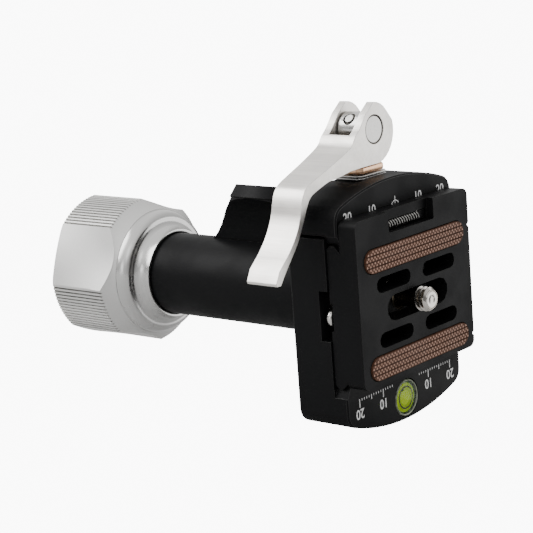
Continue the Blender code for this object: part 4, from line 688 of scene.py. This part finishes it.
@dataclass
class Ruler(Detail):
    """White ruler marks and numbers on the clamp's two jaws."""

    face_x: float = 0.0
    print_height: float = 0.00003
    print_lift: float = 0.00002
    tick_base: float = -21.60 * MM
    fine_length: float = 0.60 * MM
    middle_length: float = 1.30 * MM
    long_length: float = 2.20 * MM
    tick_width: float = 0.30 * MM
    fine_width: float = 0.22 * MM
    half_span: int = 20
    number_height: float = 2.60 * MM
    font_ratio: float = 1.38
    number_bold: float = 0.00004
    mark_stroke: float = 0.26 * MM
    number_squeeze: float = 0.96
    lower_number_z: float = -25.4 * MM
    upper_number_z: float = 25.05 * MM
    level_clearance: float = 5.2 * MM

    def build(self) -> None:
        """Print the ruler."""
        self.face_x = self.shop.upright_box("clamp_body")[1].x
        ticks = bmesh.new()
        for mark in range(-self.half_span, self.half_span + 1):
            length, width = self.tick_size(mark)
            if abs(mark) * MM < self.level_clearance:
                continue
            self.bar(ticks, (mark * MM, self.tick_base - length / 2), (width, length))
        ticks.transform(CLAMP_FRAME)
        self.shop.piece("ruler_ticks", ticks, (WHITE_PRINT,), "clamp")
        for across in (-20, -10, 10, 20):
            self.number(across, True)
            self.number(across, False)
        self.centre_mark()

    def tick_size(self, mark: int) -> tuple[float, float]:
        """Give a tick's length and width from its millimetre."""
        if mark % 10 == 0:
            return self.long_length, self.tick_width
        if mark % 5 == 0:
            return self.middle_length, self.tick_width
        return self.fine_length, self.fine_width

    def bar(self, bm: bmesh.types.BMesh, centre: tuple[float, float], size: tuple[float, float],
            turn: float = 0.0) -> None:
        """Add a thin printed bar to a mesh, in the upright frame.

        Args:
            bm: the mesh that it goes into.
            centre: its place across and up.
            size: its width and height.
            turn: how far it is turned in its plane.
        """
        place = Matrix.Translation((self.face_x + self.print_lift, centre[0], centre[1]))
        shape = Matrix.Rotation(turn, 4, "X") @ Matrix.Diagonal((self.print_height, size[0], size[1], 1.0))
        bmesh.ops.create_cube(bm, size=1.0, matrix=place @ shape)

    def number(self, across: int, lower: bool) -> None:
        """Print one number of the ruler.

        Args:
            across: its place across the clamp, in millimetres.
            lower: True for the clamp's upside-down number, False for the jaw's.
        """
        text = str(abs(across))
        name = f"{'lower' if lower else 'upper'}_{text}_{'left' if across < 0 else 'right'}"
        up = self.lower_number_z if lower else self.upper_number_z
        curve = bpy.data.curves.new(name, "FONT")
        curve.body = text
        curve.align_x = "CENTER"
        curve.align_y = "CENTER"
        curve.size = self.number_height * self.font_ratio
        curve.extrude = self.print_height / 2
        curve.offset = self.number_bold
        curve.resolution_u = 5
        holder = bpy.data.objects.new(name, curve)
        bpy.context.scene.collection.objects.link(holder)
        bpy.context.view_layer.update()
        mesh = bpy.data.meshes.new_from_object(holder.evaluated_get(bpy.context.evaluated_depsgraph_get()))
        bpy.data.objects.remove(holder)
        bm = bmesh.new()
        bm.from_mesh(mesh)
        bpy.data.meshes.remove(mesh)
        bmesh.ops.remove_doubles(bm, verts=bm.verts, dist=MERGE)
        stand = Matrix(((0, 0, 1, 0), (1, 0, 0, 0), (0, 1, 0, 0), (0, 0, 0, 1)))
        flip = Matrix.Rotation(math.pi if lower else 0.0, 4, "X")
        narrow = Matrix.Diagonal((1.0, self.number_squeeze, 1.0, 1.0))
        move = Matrix.Translation((self.face_x + self.print_lift, across * MM, up))
        bm.transform(CLAMP_FRAME @ move @ flip @ narrow @ stand)
        bmesh.ops.recalc_face_normals(bm, faces=bm.faces)
        self.shop.piece(name, bm, (WHITE_PRINT,), "clamp" if lower else "jaw")

    def centre_mark(self) -> None:
        """Print the small forked mark over the ruler's middle."""
        mark = bmesh.new()
        self.bar(mark, (0.0, 25.85 * MM), (self.mark_stroke, 2.3 * MM))
        for side in (-1.0, 1.0):
            for across, up, length, turn in ((0.62, 25.72, 1.25, 62.0), (1.36, 25.10, 0.95, 20.0)):
                self.bar(mark, (side * across * MM, up * MM), (self.mark_stroke, length * MM),
                         side * math.radians(turn))
        mark.transform(CLAMP_FRAME)
        self.shop.piece("centre_mark", mark, (WHITE_PRINT,), "jaw")


@dataclass
class GripPads(Detail):
    """Rubber pads of the quick-release plate, with bands of small raised dots between grooves."""

    bands: int = 4
    dot_pitch: float = 1.30 * MM
    dot_radius: float = 0.31 * MM
    dot_rise: float = 0.12 * MM
    dot_steps: tuple[tuple[float, float, float, float], ...] = ((1.0, 0.76, 0.0, 0.6), (0.76, 0.36, 0.6, 0.4))
    dot_rows: tuple[float, float] = (0.30, 0.70)
    groove_width: float = 0.20 * MM
    groove_depth: float = 0.14 * MM

    def build(self) -> None:
        """Groove both pads and set their dots."""
        for node in ("lower_pad", "upper_pad"):
            self.pad(node)
            self.dots(node)

    def pad(self, node: str) -> None:
        """Model one pad with a groove between its bands, in place of its CAD node; the groove floors get a
        painted shade.
        """
        low, high = self.shop.upright_box(node)
        band = (high.z - low.z) / self.bands
        bm = self.shop.merged_copy(node)
        bm.transform(CLAMP_FRAME.inverted())
        middles = [low.z + band * count for count in range(1, self.bands)]
        reach = self.groove_width / 2
        for middle in middles:
            for side in (-1.0, 1.0):
                bmesh.ops.bisect_plane(bm, geom=bm.verts[:] + bm.edges[:] + bm.faces[:], dist=CUT,
                                       plane_co=(0.0, 0.0, middle + side * reach), plane_no=(0.0, 0.0, 1.0))
        floor = [face for face in bm.faces if face.normal.x > 0.9
                 and min(abs(face.calc_center_median().z - middle) for middle in middles) < reach]
        pushed = bmesh.ops.extrude_face_region(bm, geom=floor)["geom"]
        moved = [item for item in pushed if isinstance(item, bmesh.types.BMVert)]
        bmesh.ops.translate(bm, verts=moved, vec=(-self.groove_depth, 0.0, 0.0))
        bmesh.ops.delete(bm, geom=[face for face in floor if face.is_valid], context="FACES_ONLY")
        bmesh.ops.recalc_face_normals(bm, faces=bm.faces)
        for face in bm.faces:
            # Groove floors take slot 1, a painted shade.
            face.material_index = 1 if all(vert in moved for vert in face.verts) else 0
        bm.transform(CLAMP_FRAME)
        self.shop.piece(node + "_rubber", bm, (BROWN_RUBBER, RUBBER_GROOVE_SHADE), "plate", (node,))

    def dots(self, node: str) -> None:
        """Lay two staggered rows of dots in each band of a pad, in a lighter rubber colour that is a painted
        highlight.
        """
        low, high = self.shop.upright_box(node)
        band = (high.z - low.z) / self.bands
        radius = (high.z - low.z) / 2
        middle = (high.z + low.z) / 2
        margin = self.dot_radius - 0.05 * MM
        bm = bmesh.new()
        for row in range(self.bands * 2):
            up = low.z + (row // 2) * band + self.dot_rows[row % 2] * band
            reach = math.sqrt(max(0.0, (radius - margin) ** 2 - (up - middle) ** 2))
            first = low.y + radius - reach
            last = high.y - radius + reach
            count = int((last - first) / self.dot_pitch)
            across = (first + last - count * self.dot_pitch) / 2 + (row % 2) * self.dot_pitch / 2
            while across <= last:
                self.dot(bm, Vector((high.x, across, up)))
                across += self.dot_pitch
        bm.transform(CLAMP_FRAME)
        # The dots' lighter rubber is a painted highlight.
        self.shop.piece(node + "_dots", bm, (RUBBER_DOT_HIGHLIGHT,), "plate", smooth_deg=50.0)

    def dot(self, bm: bmesh.types.BMesh, place: Vector) -> None:
        """Add one low domed dot to a mesh, in steps that narrow, its base on the pad's face."""
        turn = Matrix.Rotation(math.radians(90.0), 4, "Y")
        for radius, top, base, rise in self.dot_steps:
            move = Matrix.Translation(place + Vector(((base + rise / 2) * self.dot_rise, 0.0, 0.0)))
            bmesh.ops.create_cone(bm, cap_ends=True, segments=7, radius1=radius * self.dot_radius,
                                  radius2=top * self.dot_radius, depth=rise * self.dot_rise,
                                  matrix=move @ turn)


@dataclass
class BubbleLevel(Detail):
    """Round level: clear cup, yellow-green liquid with a painted shaded crescent, printed ring and bubble
    with a painted reflection at its edge. Its sizes are millimetres.
    """

    ring: tuple[float, float] = (2.73, 3.07)
    bubble_radius: float = 2.0
    wall: float = 0.50
    edge: float = 0.25
    lens: float = 0.22

    def build(self) -> None:
        """Model the level in place of its two CAD nodes, from its front face back."""
        low, high = self.shop.upright_box("level_vial")
        place = CLAMP_FRAME @ Matrix.Translation((high.x, (low.y + high.y) / 2, (low.z + high.z) / 2))
        back, radius = (low.x - high.x) / MM, (high.y - low.y) / 2 / MM
        inner, edge = radius - self.wall, self.edge
        cup = [(back, 0.0), (back, radius), (-edge, radius), (0.0, radius - edge), (0.0, inner + edge),
               (-0.2, inner), (-0.2, 0.0)]
        glass = -0.2 - self.lens
        inside = [(glass, 0.0), (glass, inner - 0.02), (back + 0.4, inner - 0.02), (back + 0.4, 0.0)]
        rim = [(-0.9, inner), (-0.9, radius - 0.01), (-0.22, radius - 0.01), (0.005, radius - edge),
               (0.005, inner + 0.2), (-0.18, inner), (-0.9, inner)]
        self.shop.turned("level_rim", rim, place, CUP_RIM, "clamp")
        bm = self.shop.spin(self.shop.metres(cup), place)
        hollow = self.shop.spin(self.shop.metres(inside), place)
        bmesh.ops.reverse_faces(hollow, faces=hollow.faces)
        self.shop.piece("level_cup", self.shop.join(hollow, bm), (CLEAR_CUP,), "clamp", ("level_vial",))
        top, room = glass - 0.04, inner - 0.06
        # Painted shade: a dark green sheet behind the liquid, which is shifted aside so that the sheet shows
        # as a shaded crescent.
        shade = [(back + 0.45, 0.0), (back + 0.45, room), (top - 0.30, room), (top - 0.10, room - 0.25),
                 (top - 0.10, 0.0)]
        self.shop.turned("level_shade", shade, place, GREEN_SHADE_AND_REFLECTION, "clamp")
        aside = place @ Matrix.Translation((0.0, -0.30 * MM, 0.06 * MM))
        liquid = [(top - 0.25, 0.0), (top - 0.25, room - 0.42), (top - 0.08, room - 0.42),
                  (top - 0.04, room - 0.60), (top - 0.04, 0.0)]
        self.shop.turned("level_fluid", liquid, aside, GREEN_LIQUID, "clamp", ("level_liquid",))
        hole, outer = self.ring
        ring = [(top - 0.06, hole), (top - 0.06, outer), (top, outer), (top, hole), (top - 0.06, hole)]
        self.shop.turned("level_ring_mark", ring, place, BLACK_OXIDE, "clamp")
        angles = [math.radians(15.0 * step) for step in range(7)]
        bubble = [(top - 0.10, 0.0)]
        bubble += [(top - 0.05 + 0.05 * math.sin(angle), self.bubble_radius * math.cos(angle))
                   for angle in angles]
        self.shop.turned("level_bubble", bubble, aside, GREEN_LIGHT, "clamp")
        # Painted reflection: a small dark green spot at the bubble's upper edge.
        glint = place @ Matrix.Translation((0.0, -1.15 * MM, 2.35 * MM))
        spot = [(top - 0.05, 0.0), (top - 0.05, 0.42), (top + 0.01, 0.36), (top + 0.01, 0.0)]
        self.shop.turned("level_bubble_edge_painted_reflection", spot, glint, GREEN_SHADE_AND_REFLECTION, "clamp", steps=20)


@dataclass
class KnobShell(Detail):
    """Tension knob: knurled bands between smooth scallops, a cone, a beaded ring and a collar."""

    rear: float = -68.0 * MM
    ring_edge: float = -45.0 * MM
    ring_radius: float = 17.8 * MM
    ring_crest: float = 15.2 * MM
    ring_rise: float = 3.5 * MM
    collar: float = -37.4 * MM
    lip: float = 12.6 * MM
    bore: float = 11.9 * MM
    cone_length: float = 3.4 * MM
    crest: float = 21.4 * MM
    spare: float = 0.4 * MM
    knurl_depth: float = 0.5 * MM
    teeth: int = 14
    scallops: int = 4
    half_span: float = 25.0
    phase: float = 159.0
    scallop_radius: float = 18.1 * MM
    run_out: float = 1.9 * MM
    run_length: float = 32.6 * MM
    run_front: float = -36.4 * MM
    back_fillet: float = 1.4 * MM
    samples: int = 4
    grip_rows: int = 6
    rear_rows: int = 4

    def build(self) -> None:
        """Model the knob in place of its CAD node."""
        steps = round(360.0 / self.pitch() * self.samples)
        rows = self.row_marks()
        profile = self.inner_profile() + self.front_profile() + [(x, self.crest + self.spare) for x in rows]
        start = Matrix.Rotation(math.radians(self.phase + self.half_span), 4, "X")
        bm = self.shop.spin(profile + [profile[0]], start, steps)
        marks = sorted(rows, reverse=True)
        for vertex in bm.verts:
            radius = math.hypot(vertex.co.y, vertex.co.z)
            if radius > self.crest + self.spare / 2:
                row = min(range(len(marks)), key=lambda index: abs(marks[index] - vertex.co.x))
                angle = math.degrees(math.atan2(vertex.co.z, vertex.co.y))
                x, wanted = self.grip_point(angle, row)
                vertex.co = (x, vertex.co.y * wanted / radius, vertex.co.z * wanted / radius)
        bmesh.ops.remove_doubles(bm, verts=bm.verts, dist=MERGE)
        for face in bm.faces:
            centre = face.calc_center_median()
            radius = math.hypot(centre.y, centre.z)
            on_grip = radius > self.crest - 0.45 * MM and centre.x < self.ring_edge
            angle = math.degrees(math.atan2(centre.z, centre.y))
            # Knurl groove faces take slot 1, the painted shade of KNURL_SHADE.
            in_groove = on_grip and 0.5 < self.tooth_share(angle) and abs(self.lean(angle)) > self.half_span
            on_cone = centre.x < self.ring_edge - 0.1 * MM and radius > self.ring_radius
            face.material_index = 1 if in_groove else 2 if on_cone else 0
        bmesh.ops.recalc_face_normals(bm, faces=bm.faces)
        bm.transform(CLAMP_FRAME)
        self.shop.piece("tension_knob_shell", bm, (SATIN_ALUMINIUM, KNURL_SHADE, BLASTED_ALUMINIUM), "knob",
                        ("tension_knob",), 28.0)

    def pitch(self) -> float:
        """Give the angle of one knurl tooth, in degrees."""
        return (360.0 / self.scallops - 2 * self.half_span) / self.teeth

    def lean(self, angle: float) -> float:
        """Give how far an angle is from its scallop's middle, in degrees."""
        span = 360.0 / self.scallops
        return (angle - self.phase + span / 2) % span - span / 2

    def tooth_share(self, angle: float) -> float:
        """Give how far an angle is through its knurl tooth, from 0 to 1."""
        return (angle - self.phase - self.half_span) % (360.0 / self.scallops) / self.pitch() % 1.0

    def row_marks(self) -> list[float]:
        """Give the stations that stand for the cone's foot, the grip's rows and the rear fillet's rows."""
        count = self.grip_rows + self.rear_rows
        return [self.ring_edge - (1 + index) * MM for index in range(count)]

    def grip_point(self, angle: float, row: int) -> tuple[float, float]:
        """Place one row of one column of the grip.

        Args:
            angle: the column's angle, in degrees.
            row: the row, counted from the cone.

        Returns:
            The station along X and the radius.
        """
        lean = self.lean(angle)
        slope = (self.crest - self.ring_radius) / self.cone_length
        rate = 0.0
        if abs(lean) <= self.half_span + 0.01:
            flat = self.crest * math.cos(math.radians(self.half_span))
            share = 1.0 - (lean / self.half_span) ** 2
            grip = flat / math.cos(math.radians(lean)) + (self.scallop_radius - flat) * share
            rate = self.run_out * max(0.0, share) / self.run_length
        else:
            share = self.tooth_share(angle)
            grip = self.crest - self.knurl_depth * max(0.0, 1.0 - abs(share - 0.75) / 0.25)
            grip = self.crest if share > 0.99 else grip
        front = (grip + rate * self.run_front - self.ring_radius - slope * self.ring_edge) / (rate - slope)
        inner = self.crest + 0.5 * MM - self.back_fillet
        at_rear = grip + rate * (self.run_front - self.rear)
        lift = math.asin(min(1.0, max(0.0, (at_rear - inner) / self.back_fillet)))
        if row >= self.grip_rows:
            step = (row - self.grip_rows) / (self.rear_rows - 1)
            if at_rear <= inner:
                return self.rear, at_rear - 0.3 * MM * step
            turn = lift * (1.0 - step)
            return (self.rear + self.back_fillet * (1.0 - math.cos(turn)),
                    inner + self.back_fillet * math.sin(turn))
        end = self.rear + self.back_fillet * (1.0 - math.cos(lift))
        x = front + (end - front) * row / self.grip_rows
        return x, grip + rate * (self.run_front - x)

    def inner_profile(self) -> list[tuple[float, float]]:
        """Give the seats inside the knob, from its rear to its mouth."""
        return self.shop.metres([(-68.0, 13.5), (-66.2, 13.5), (-66.2, 8.2), (-59.6, 8.2), (-59.6, 9.3),
                                 (-46.5, 9.3), (-46.5, 11.9)])

    def front_profile(self) -> list[tuple[float, float]]:
        """Give the collar, the swelling ring with its bead, and the cone's start."""
        points = [(self.collar, self.bore), (self.collar + 0.05 * MM, self.bore + 0.15 * MM),
                  (self.collar + 0.05 * MM, self.lip - 0.15 * MM)]
        for count in range(13):
            angle = math.radians(90.0 * count / 12)
            points.append((self.collar - 4.1 * MM * math.sin(angle),
                           self.lip + 2.6 * MM * (1.0 - math.cos(angle))))
        for count in range(1, 17):
            angle = math.radians(90.0 * count / 16)
            points.append((self.ring_edge + self.ring_rise * math.cos(angle),
                           self.ring_crest + (self.ring_radius - self.ring_crest) * math.sin(angle)))
        points += [(self.ring_edge - 0.06 * MM, self.ring_radius + 0.13 * MM),
                   (self.ring_edge - 0.16 * MM, self.ring_radius + 0.17 * MM)]
        return points


@dataclass
class CameraScrew(Detail):
    """Captive camera screw with its real quarter-inch thread, the reducer's thread and the catch's spring."""

    pitch: float = 1.27 * MM
    crest: float = 3.175 * MM
    root: float = 2.45 * MM
    neck: float = 2.4 * MM
    fillet: float = 0.9 * MM
    thread_length: float = 4.3 * MM
    head_height: float = 1.2 * MM
    ridge_steps: int = 28
    wire_radius: float = 0.17 * MM
    coil_radius: float = 1.12 * MM
    coil_lift: float = 0.45 * MM
    curls: int = 14
    curl_steps: int = 20

    def build(self) -> None:
        """Model the screw in place of its CAD node, wind the catch's spring and thread the reducer."""
        low, high = self.shop.upright_box("camera_screw")
        place = CLAMP_FRAME @ Matrix.Translation((0.0, (low.y + high.y) / 2, (low.z + high.z) / 2))
        bm = self.shank(low.x, high.x, (high.y - low.y) / 2)
        self.shop.join(self.screw_thread(high.x), bm)
        bm.transform(place)
        self.shop.piece("camera_screw_threaded", bm, (SCREW_STEEL, SCREW_CORE_SHADE_AND_REFLECTION), "camera_screw",
                        ("camera_screw",))
        self.spring()
        bottom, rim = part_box("base_reducer")
        stand = Matrix.Translation((0.0, 0.0, bottom[2])) @ Matrix.Rotation(math.radians(-90.0), 4, "Y")
        inner = self.ridge(self.crest + 0.05 * MM, self.root, 0.2 * MM, rim[2] - bottom[2] - 0.4 * MM)
        inner.transform(stand)
        self.shop.piece("reducer_thread", inner, (PLAIN_STEEL,), "head")

    def shank(self, back: float, tip: float, head: float) -> bmesh.types.BMesh:
        """Turn the screw's head, neck and core, with painted shade and a painted warm reflection on the neck
        and on the core between the thread's turns.

        Args:
            back: the back of the head along X.
            tip: the screw's tip along X.
            head: the head's radius.

        Returns:
            The turned mesh, its axis on X.
        """
        step = tip - self.thread_length
        top = back + self.head_height
        profile = [(back, 0.0), (back, head - 0.3 * MM), (back + 0.3 * MM, head), (top - 0.15 * MM, head),
                   (top, head - 0.15 * MM)]
        for count in range(5):
            angle = math.radians(90.0 * count / 4)
            profile.append((top + self.fillet * (1.0 - math.cos(angle)),
                            self.neck + self.fillet * (1.0 - math.sin(angle))))
        profile += [(step - 0.3 * MM, self.neck), (step, self.root), (tip - 0.35 * MM, self.root),
                    (tip, self.root - 0.35 * MM), (tip, 1.15 * MM), (tip - 0.10 * MM, 1.0 * MM),
                    (tip - 0.10 * MM, 0.0)]
        bm = self.shop.spin(profile, Matrix.Identity(4))
        for face in bm.faces:
            centre = face.calc_center_median()
            wide = math.hypot(centre.y, centre.z) > 1.6 * MM
            # The neck and the core take slot 1, the painted shade and warm reflection.
            face.material_index = 1 if wide and top < centre.x < tip - 0.4 * MM else 0
        return bm

    def screw_thread(self, tip: float) -> bmesh.types.BMesh:
        """Wind the screw's thread past its tip, cut it off there and chamfer its end.

        Args:
            tip: the screw's tip along X.

        Returns:
            The thread's mesh, its axis on X.
        """
        bm = self.ridge(self.root - 0.05 * MM, self.crest, tip - self.thread_length - 0.2 * MM,
                        self.thread_length + 1.6 * MM)
        cut = bmesh.ops.bisect_plane(bm, geom=bm.verts[:] + bm.edges[:] + bm.faces[:], dist=CUT,
                                     plane_co=(tip - 0.04 * MM, 0.0, 0.0), plane_no=(1.0, 0.0, 0.0),
                                     clear_outer=True)["geom_cut"]
        loops = [edge for edge in cut if isinstance(edge, bmesh.types.BMEdge)]
        bmesh.ops.holes_fill(bm, edges=loops, sides=0)
        for vertex in bm.verts:
            radius = math.hypot(vertex.co.y, vertex.co.z)
            limit = self.root - 0.02 * MM + max(0.0, tip - vertex.co.x) * 1.1
            if radius > limit:
                vertex.co.yz = vertex.co.yz * (limit / radius)
        bmesh.ops.recalc_face_normals(bm, faces=bm.faces)
        return bm

    def ridge(self, root: float, crest: float, start: float, length: float) -> bmesh.types.BMesh:
        """Wind a screw thread's ridge about the X axis.

        Args:
            root: the radius of its foot.
            crest: the radius of its crest, less than the root for an inner thread.
            start: where it starts along X.
            length: how far it runs.

        Returns:
            The closed ridge's mesh.
        """
        turns = (length - self.pitch) / self.pitch
        bm = bmesh.new()
        bm.faces.new([bm.verts.new((start + share * self.pitch, radius, 0.0))
                      for share, radius in ((0.14, root), (0.42, crest), (0.58, crest), (0.86, root))])
        steps = max(4, round(self.ridge_steps * turns))
        self.shop.wind(bm, (1.0, 0.0, 0.0), turns * self.pitch, turns, steps)
        return bm

    def spring(self) -> None:
        """Wind the catch's spring in place of its CAD node."""
        low, high = self.shop.upright_box("catch_spring")
        bm = bmesh.new()
        turn = Matrix.Translation((0.0, 0.0, self.coil_radius)) @ Matrix.Rotation(math.radians(90.0), 4, "Y")
        bmesh.ops.create_circle(bm, segments=8, radius=self.wire_radius, cap_ends=True, matrix=turn)
        self.shop.wind(bm, (0.0, 1.0, 0.0), high.y - low.y - 2 * self.wire_radius, self.curls,
                       self.curls * self.curl_steps)
        foot = Vector(((low.x + high.x) / 2 + self.coil_lift, low.y + self.wire_radius, (low.z + high.z) / 2))
        bm.transform(CLAMP_FRAME @ Matrix.Translation(foot))
        # The coil's darkened steel is a painted shade.
        coil = self.shop.piece("catch_spring_coil", bm, (SPRING_STEEL_SHADE,), "", ("catch_spring",), 60.0)
        catch_low, catch_high = self.shop.upright_box("catch_slider")
        ends = [CLAMP_FRAME @ Vector((foot.x, across, foot.z)) for across in (low.y, high.y)]
        if catch_low.y + catch_high.y < low.y + high.y:
            ends.reverse()
        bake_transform(coil)


@dataclass(frozen=True)
class Softbox:
    """One square studio lamp.

    Args:
        name: the lamp's name.
        place: where it stands.
        size: the length of its side.
        glow: how bright its face looks.
        target: what it points at.
    """

    name: str
    place: tuple[float, float, float]
    size: float
    glow: float
    target: tuple[float, float, float] = (0.0, 0.0, -0.03)

    def build(self) -> None:
        """Hang the lamp."""
        data = bpy.data.lights.new(self.name, "AREA")
        data.shape = "SQUARE"
        data.size = self.size
        data.energy = self.glow * math.pi * self.size ** 2
        light = bpy.data.objects.new(self.name, data)
        light.location = self.place
        light.rotation_euler = (Vector(self.target) - Vector(self.place)).to_track_quat("-Z", "Y").to_euler()
        bpy.context.scene.collection.objects.link(light)


@dataclass
class Studio(Detail):
    """Pale floor, soft lights, white surroundings and the camera."""

    camera_place: tuple[float, float, float] = (0.3068, -0.37209, -0.00095)
    camera_right: tuple[float, float, float] = (0.76264, 0.64292, 0.07093)
    camera_up: tuple[float, float, float] = (-0.08219, -0.01246, 0.99654)
    camera_back: tuple[float, float, float] = (0.64158, -0.76583, 0.04335)
    lens: float = 119.4
    floor_radius: float = 0.42
    floor_centre: tuple[float, float] = (-0.06, -0.34)
    white: float = 10.0
    dome: float = 1.25
    low_glow: float = 0.34
    rise_band: tuple[float, float] = (0.20, 0.42)
    side_band: tuple[float, float] = (0.1, 0.8)
    side_shade: float = 0.6
    diagonal: float = 0.7071
    floor_gap: float = 0.0002
    softboxes: tuple[Softbox, ...] = (
        Softbox("softbox_left", (-0.70, -0.68, 0.56), 0.75, 4.8),
        Softbox("softbox_strip", (0.02, -1.05, -0.02), 0.34, 3.2),
        Softbox("softbox_camera", (0.62, -0.95, 0.45), 0.55, 1.2),
        Softbox("softbox_right", (0.70, 0.84, 0.02), 0.85, 1.9),
    )

    def build(self) -> None:
        """Set up the floor, the lights, the surroundings and the camera."""
        self.floor()
        for softbox in self.softboxes:
            softbox.build()
        self.surroundings()
        self.camera()

    def floor(self) -> None:
        """Lay the round pale floor just under the head; the camera sees it as plain white."""
        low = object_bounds()[0]
        bm = bmesh.new()
        bmesh.ops.create_circle(bm, cap_ends=True, segments=96, radius=self.floor_radius)
        bm.transform(Matrix.Translation((*self.floor_centre, low[2] - self.floor_gap)))
        mesh = bpy.data.meshes.new("studio_floor")
        bm.to_mesh(mesh)
        bm.free()
        material = self.shop.finish(PALE_FLOOR)
        bench = NodeBench(material.node_tree)
        shader = next(node for node in material.node_tree.nodes if node.type == "BSDF_PRINCIPLED")
        output = next(node for node in material.node_tree.nodes if node.type == "OUTPUT_MATERIAL")
        glow = bench.add("ShaderNodeEmission")
        glow.inputs["Strength"].default_value = self.white
        mix = bench.add("ShaderNodeMixShader")
        bench.link(bench.add("ShaderNodeLightPath").outputs["Is Camera Ray"], mix.inputs[0])
        bench.link(shader.outputs["BSDF"], mix.inputs[1])
        bench.link(glow.outputs["Emission"], mix.inputs[2])
        bench.link(mix.outputs["Shader"], output.inputs["Surface"])
        mesh.materials.append(material)
        floor = bpy.data.objects.new("studio_floor", mesh)
        bpy.context.scene.collection.objects.link(floor)
        floor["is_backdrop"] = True

    def surroundings(self) -> None:
        """Put a soft white dome over the head, dark near the ground; the camera sees plain white."""
        world = bpy.data.worlds.new("studio_white")
        world.use_nodes = True
        world.node_tree.nodes.clear()
        bench = NodeBench(world.node_tree)
        parts = bench.add("ShaderNodeSeparateXYZ")
        bench.link(bench.add("ShaderNodeTexCoord").outputs["Generated"], parts.inputs["Vector"])
        rise = self.ramp(bench, parts.outputs["Z"], self.rise_band, (self.low_glow, self.dome))
        right = bench.math("ADD", parts.outputs["X"], parts.outputs["Y"])
        right = bench.math("MULTIPLY", right, self.diagonal)
        shade = self.ramp(bench, right, self.side_band, (1.0, self.side_shade))
        strength = bench.math("MULTIPLY", rise, shade)
        seen = bench.add("ShaderNodeLightPath").outputs["Is Camera Ray"]
        strength = bench.math("MAXIMUM", strength, bench.math("MULTIPLY", seen, self.white))
        background = bench.add("ShaderNodeBackground")
        background.inputs["Color"].default_value = (1.0, 1.0, 1.0, 1.0)
        bench.link(strength, background.inputs["Strength"])
        output = bench.add("ShaderNodeOutputWorld")
        bench.link(background.outputs["Background"], output.inputs["Surface"])
        bpy.context.scene.world = world

    @staticmethod
    def ramp(bench: NodeBench, value: Link, band: tuple[float, float], results: tuple[float, float]) -> Link:
        """Ease one range of a value into another.

        Args:
            bench: the node bench.
            value: the socket that is read.
            band: where its range starts and ends.
            results: the result at the start and at the end.

        Returns:
            The eased value's socket.
        """
        node = bench.add("ShaderNodeMapRange", interpolation_type="SMOOTHSTEP")
        for name, number in zip(("From Min", "From Max", "To Min", "To Max"), band + results):
            node.inputs[name].default_value = number
        bench.link(value, node.inputs["Value"])
        return node.outputs["Result"]

    def camera(self) -> None:
        """Set the camera where the photograph was taken from."""
        data = bpy.data.cameras.new("photo_camera")
        data.lens = self.lens
        data.sensor_width = 36.0
        data.clip_start = 0.01
        camera = bpy.data.objects.new("photo_camera", data)
        right, up, back = (Vector(axis) for axis in (self.camera_right, self.camera_up, self.camera_back))
        turn = Matrix((right, up, back)).transposed().to_quaternion().to_matrix().to_4x4()
        camera.matrix_world = Matrix.Translation(self.camera_place) @ turn
        bpy.context.scene.collection.objects.link(camera)
        bpy.context.scene.camera = camera


def main() -> list[list[float]]:
    """Load the frame and build every sub-assembly on it.

    Returns:
        The CAD box, as its lowest and highest corners.
    """
    logging.basicConfig(level=logging.INFO, format="%(name)s %(message)s")
    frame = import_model()
    cad_box = [list(corner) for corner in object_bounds()]
    shop = Workshop(frame)
    for part in (Studio, NodeDress, Ruler, KnobShell, GripPads, BubbleLevel, CameraScrew):
        part(shop).build()
        LOG.info("%s done", part.__name__)
    return cad_box


if __name__ == "__main__":
    CAD_BOX = main()
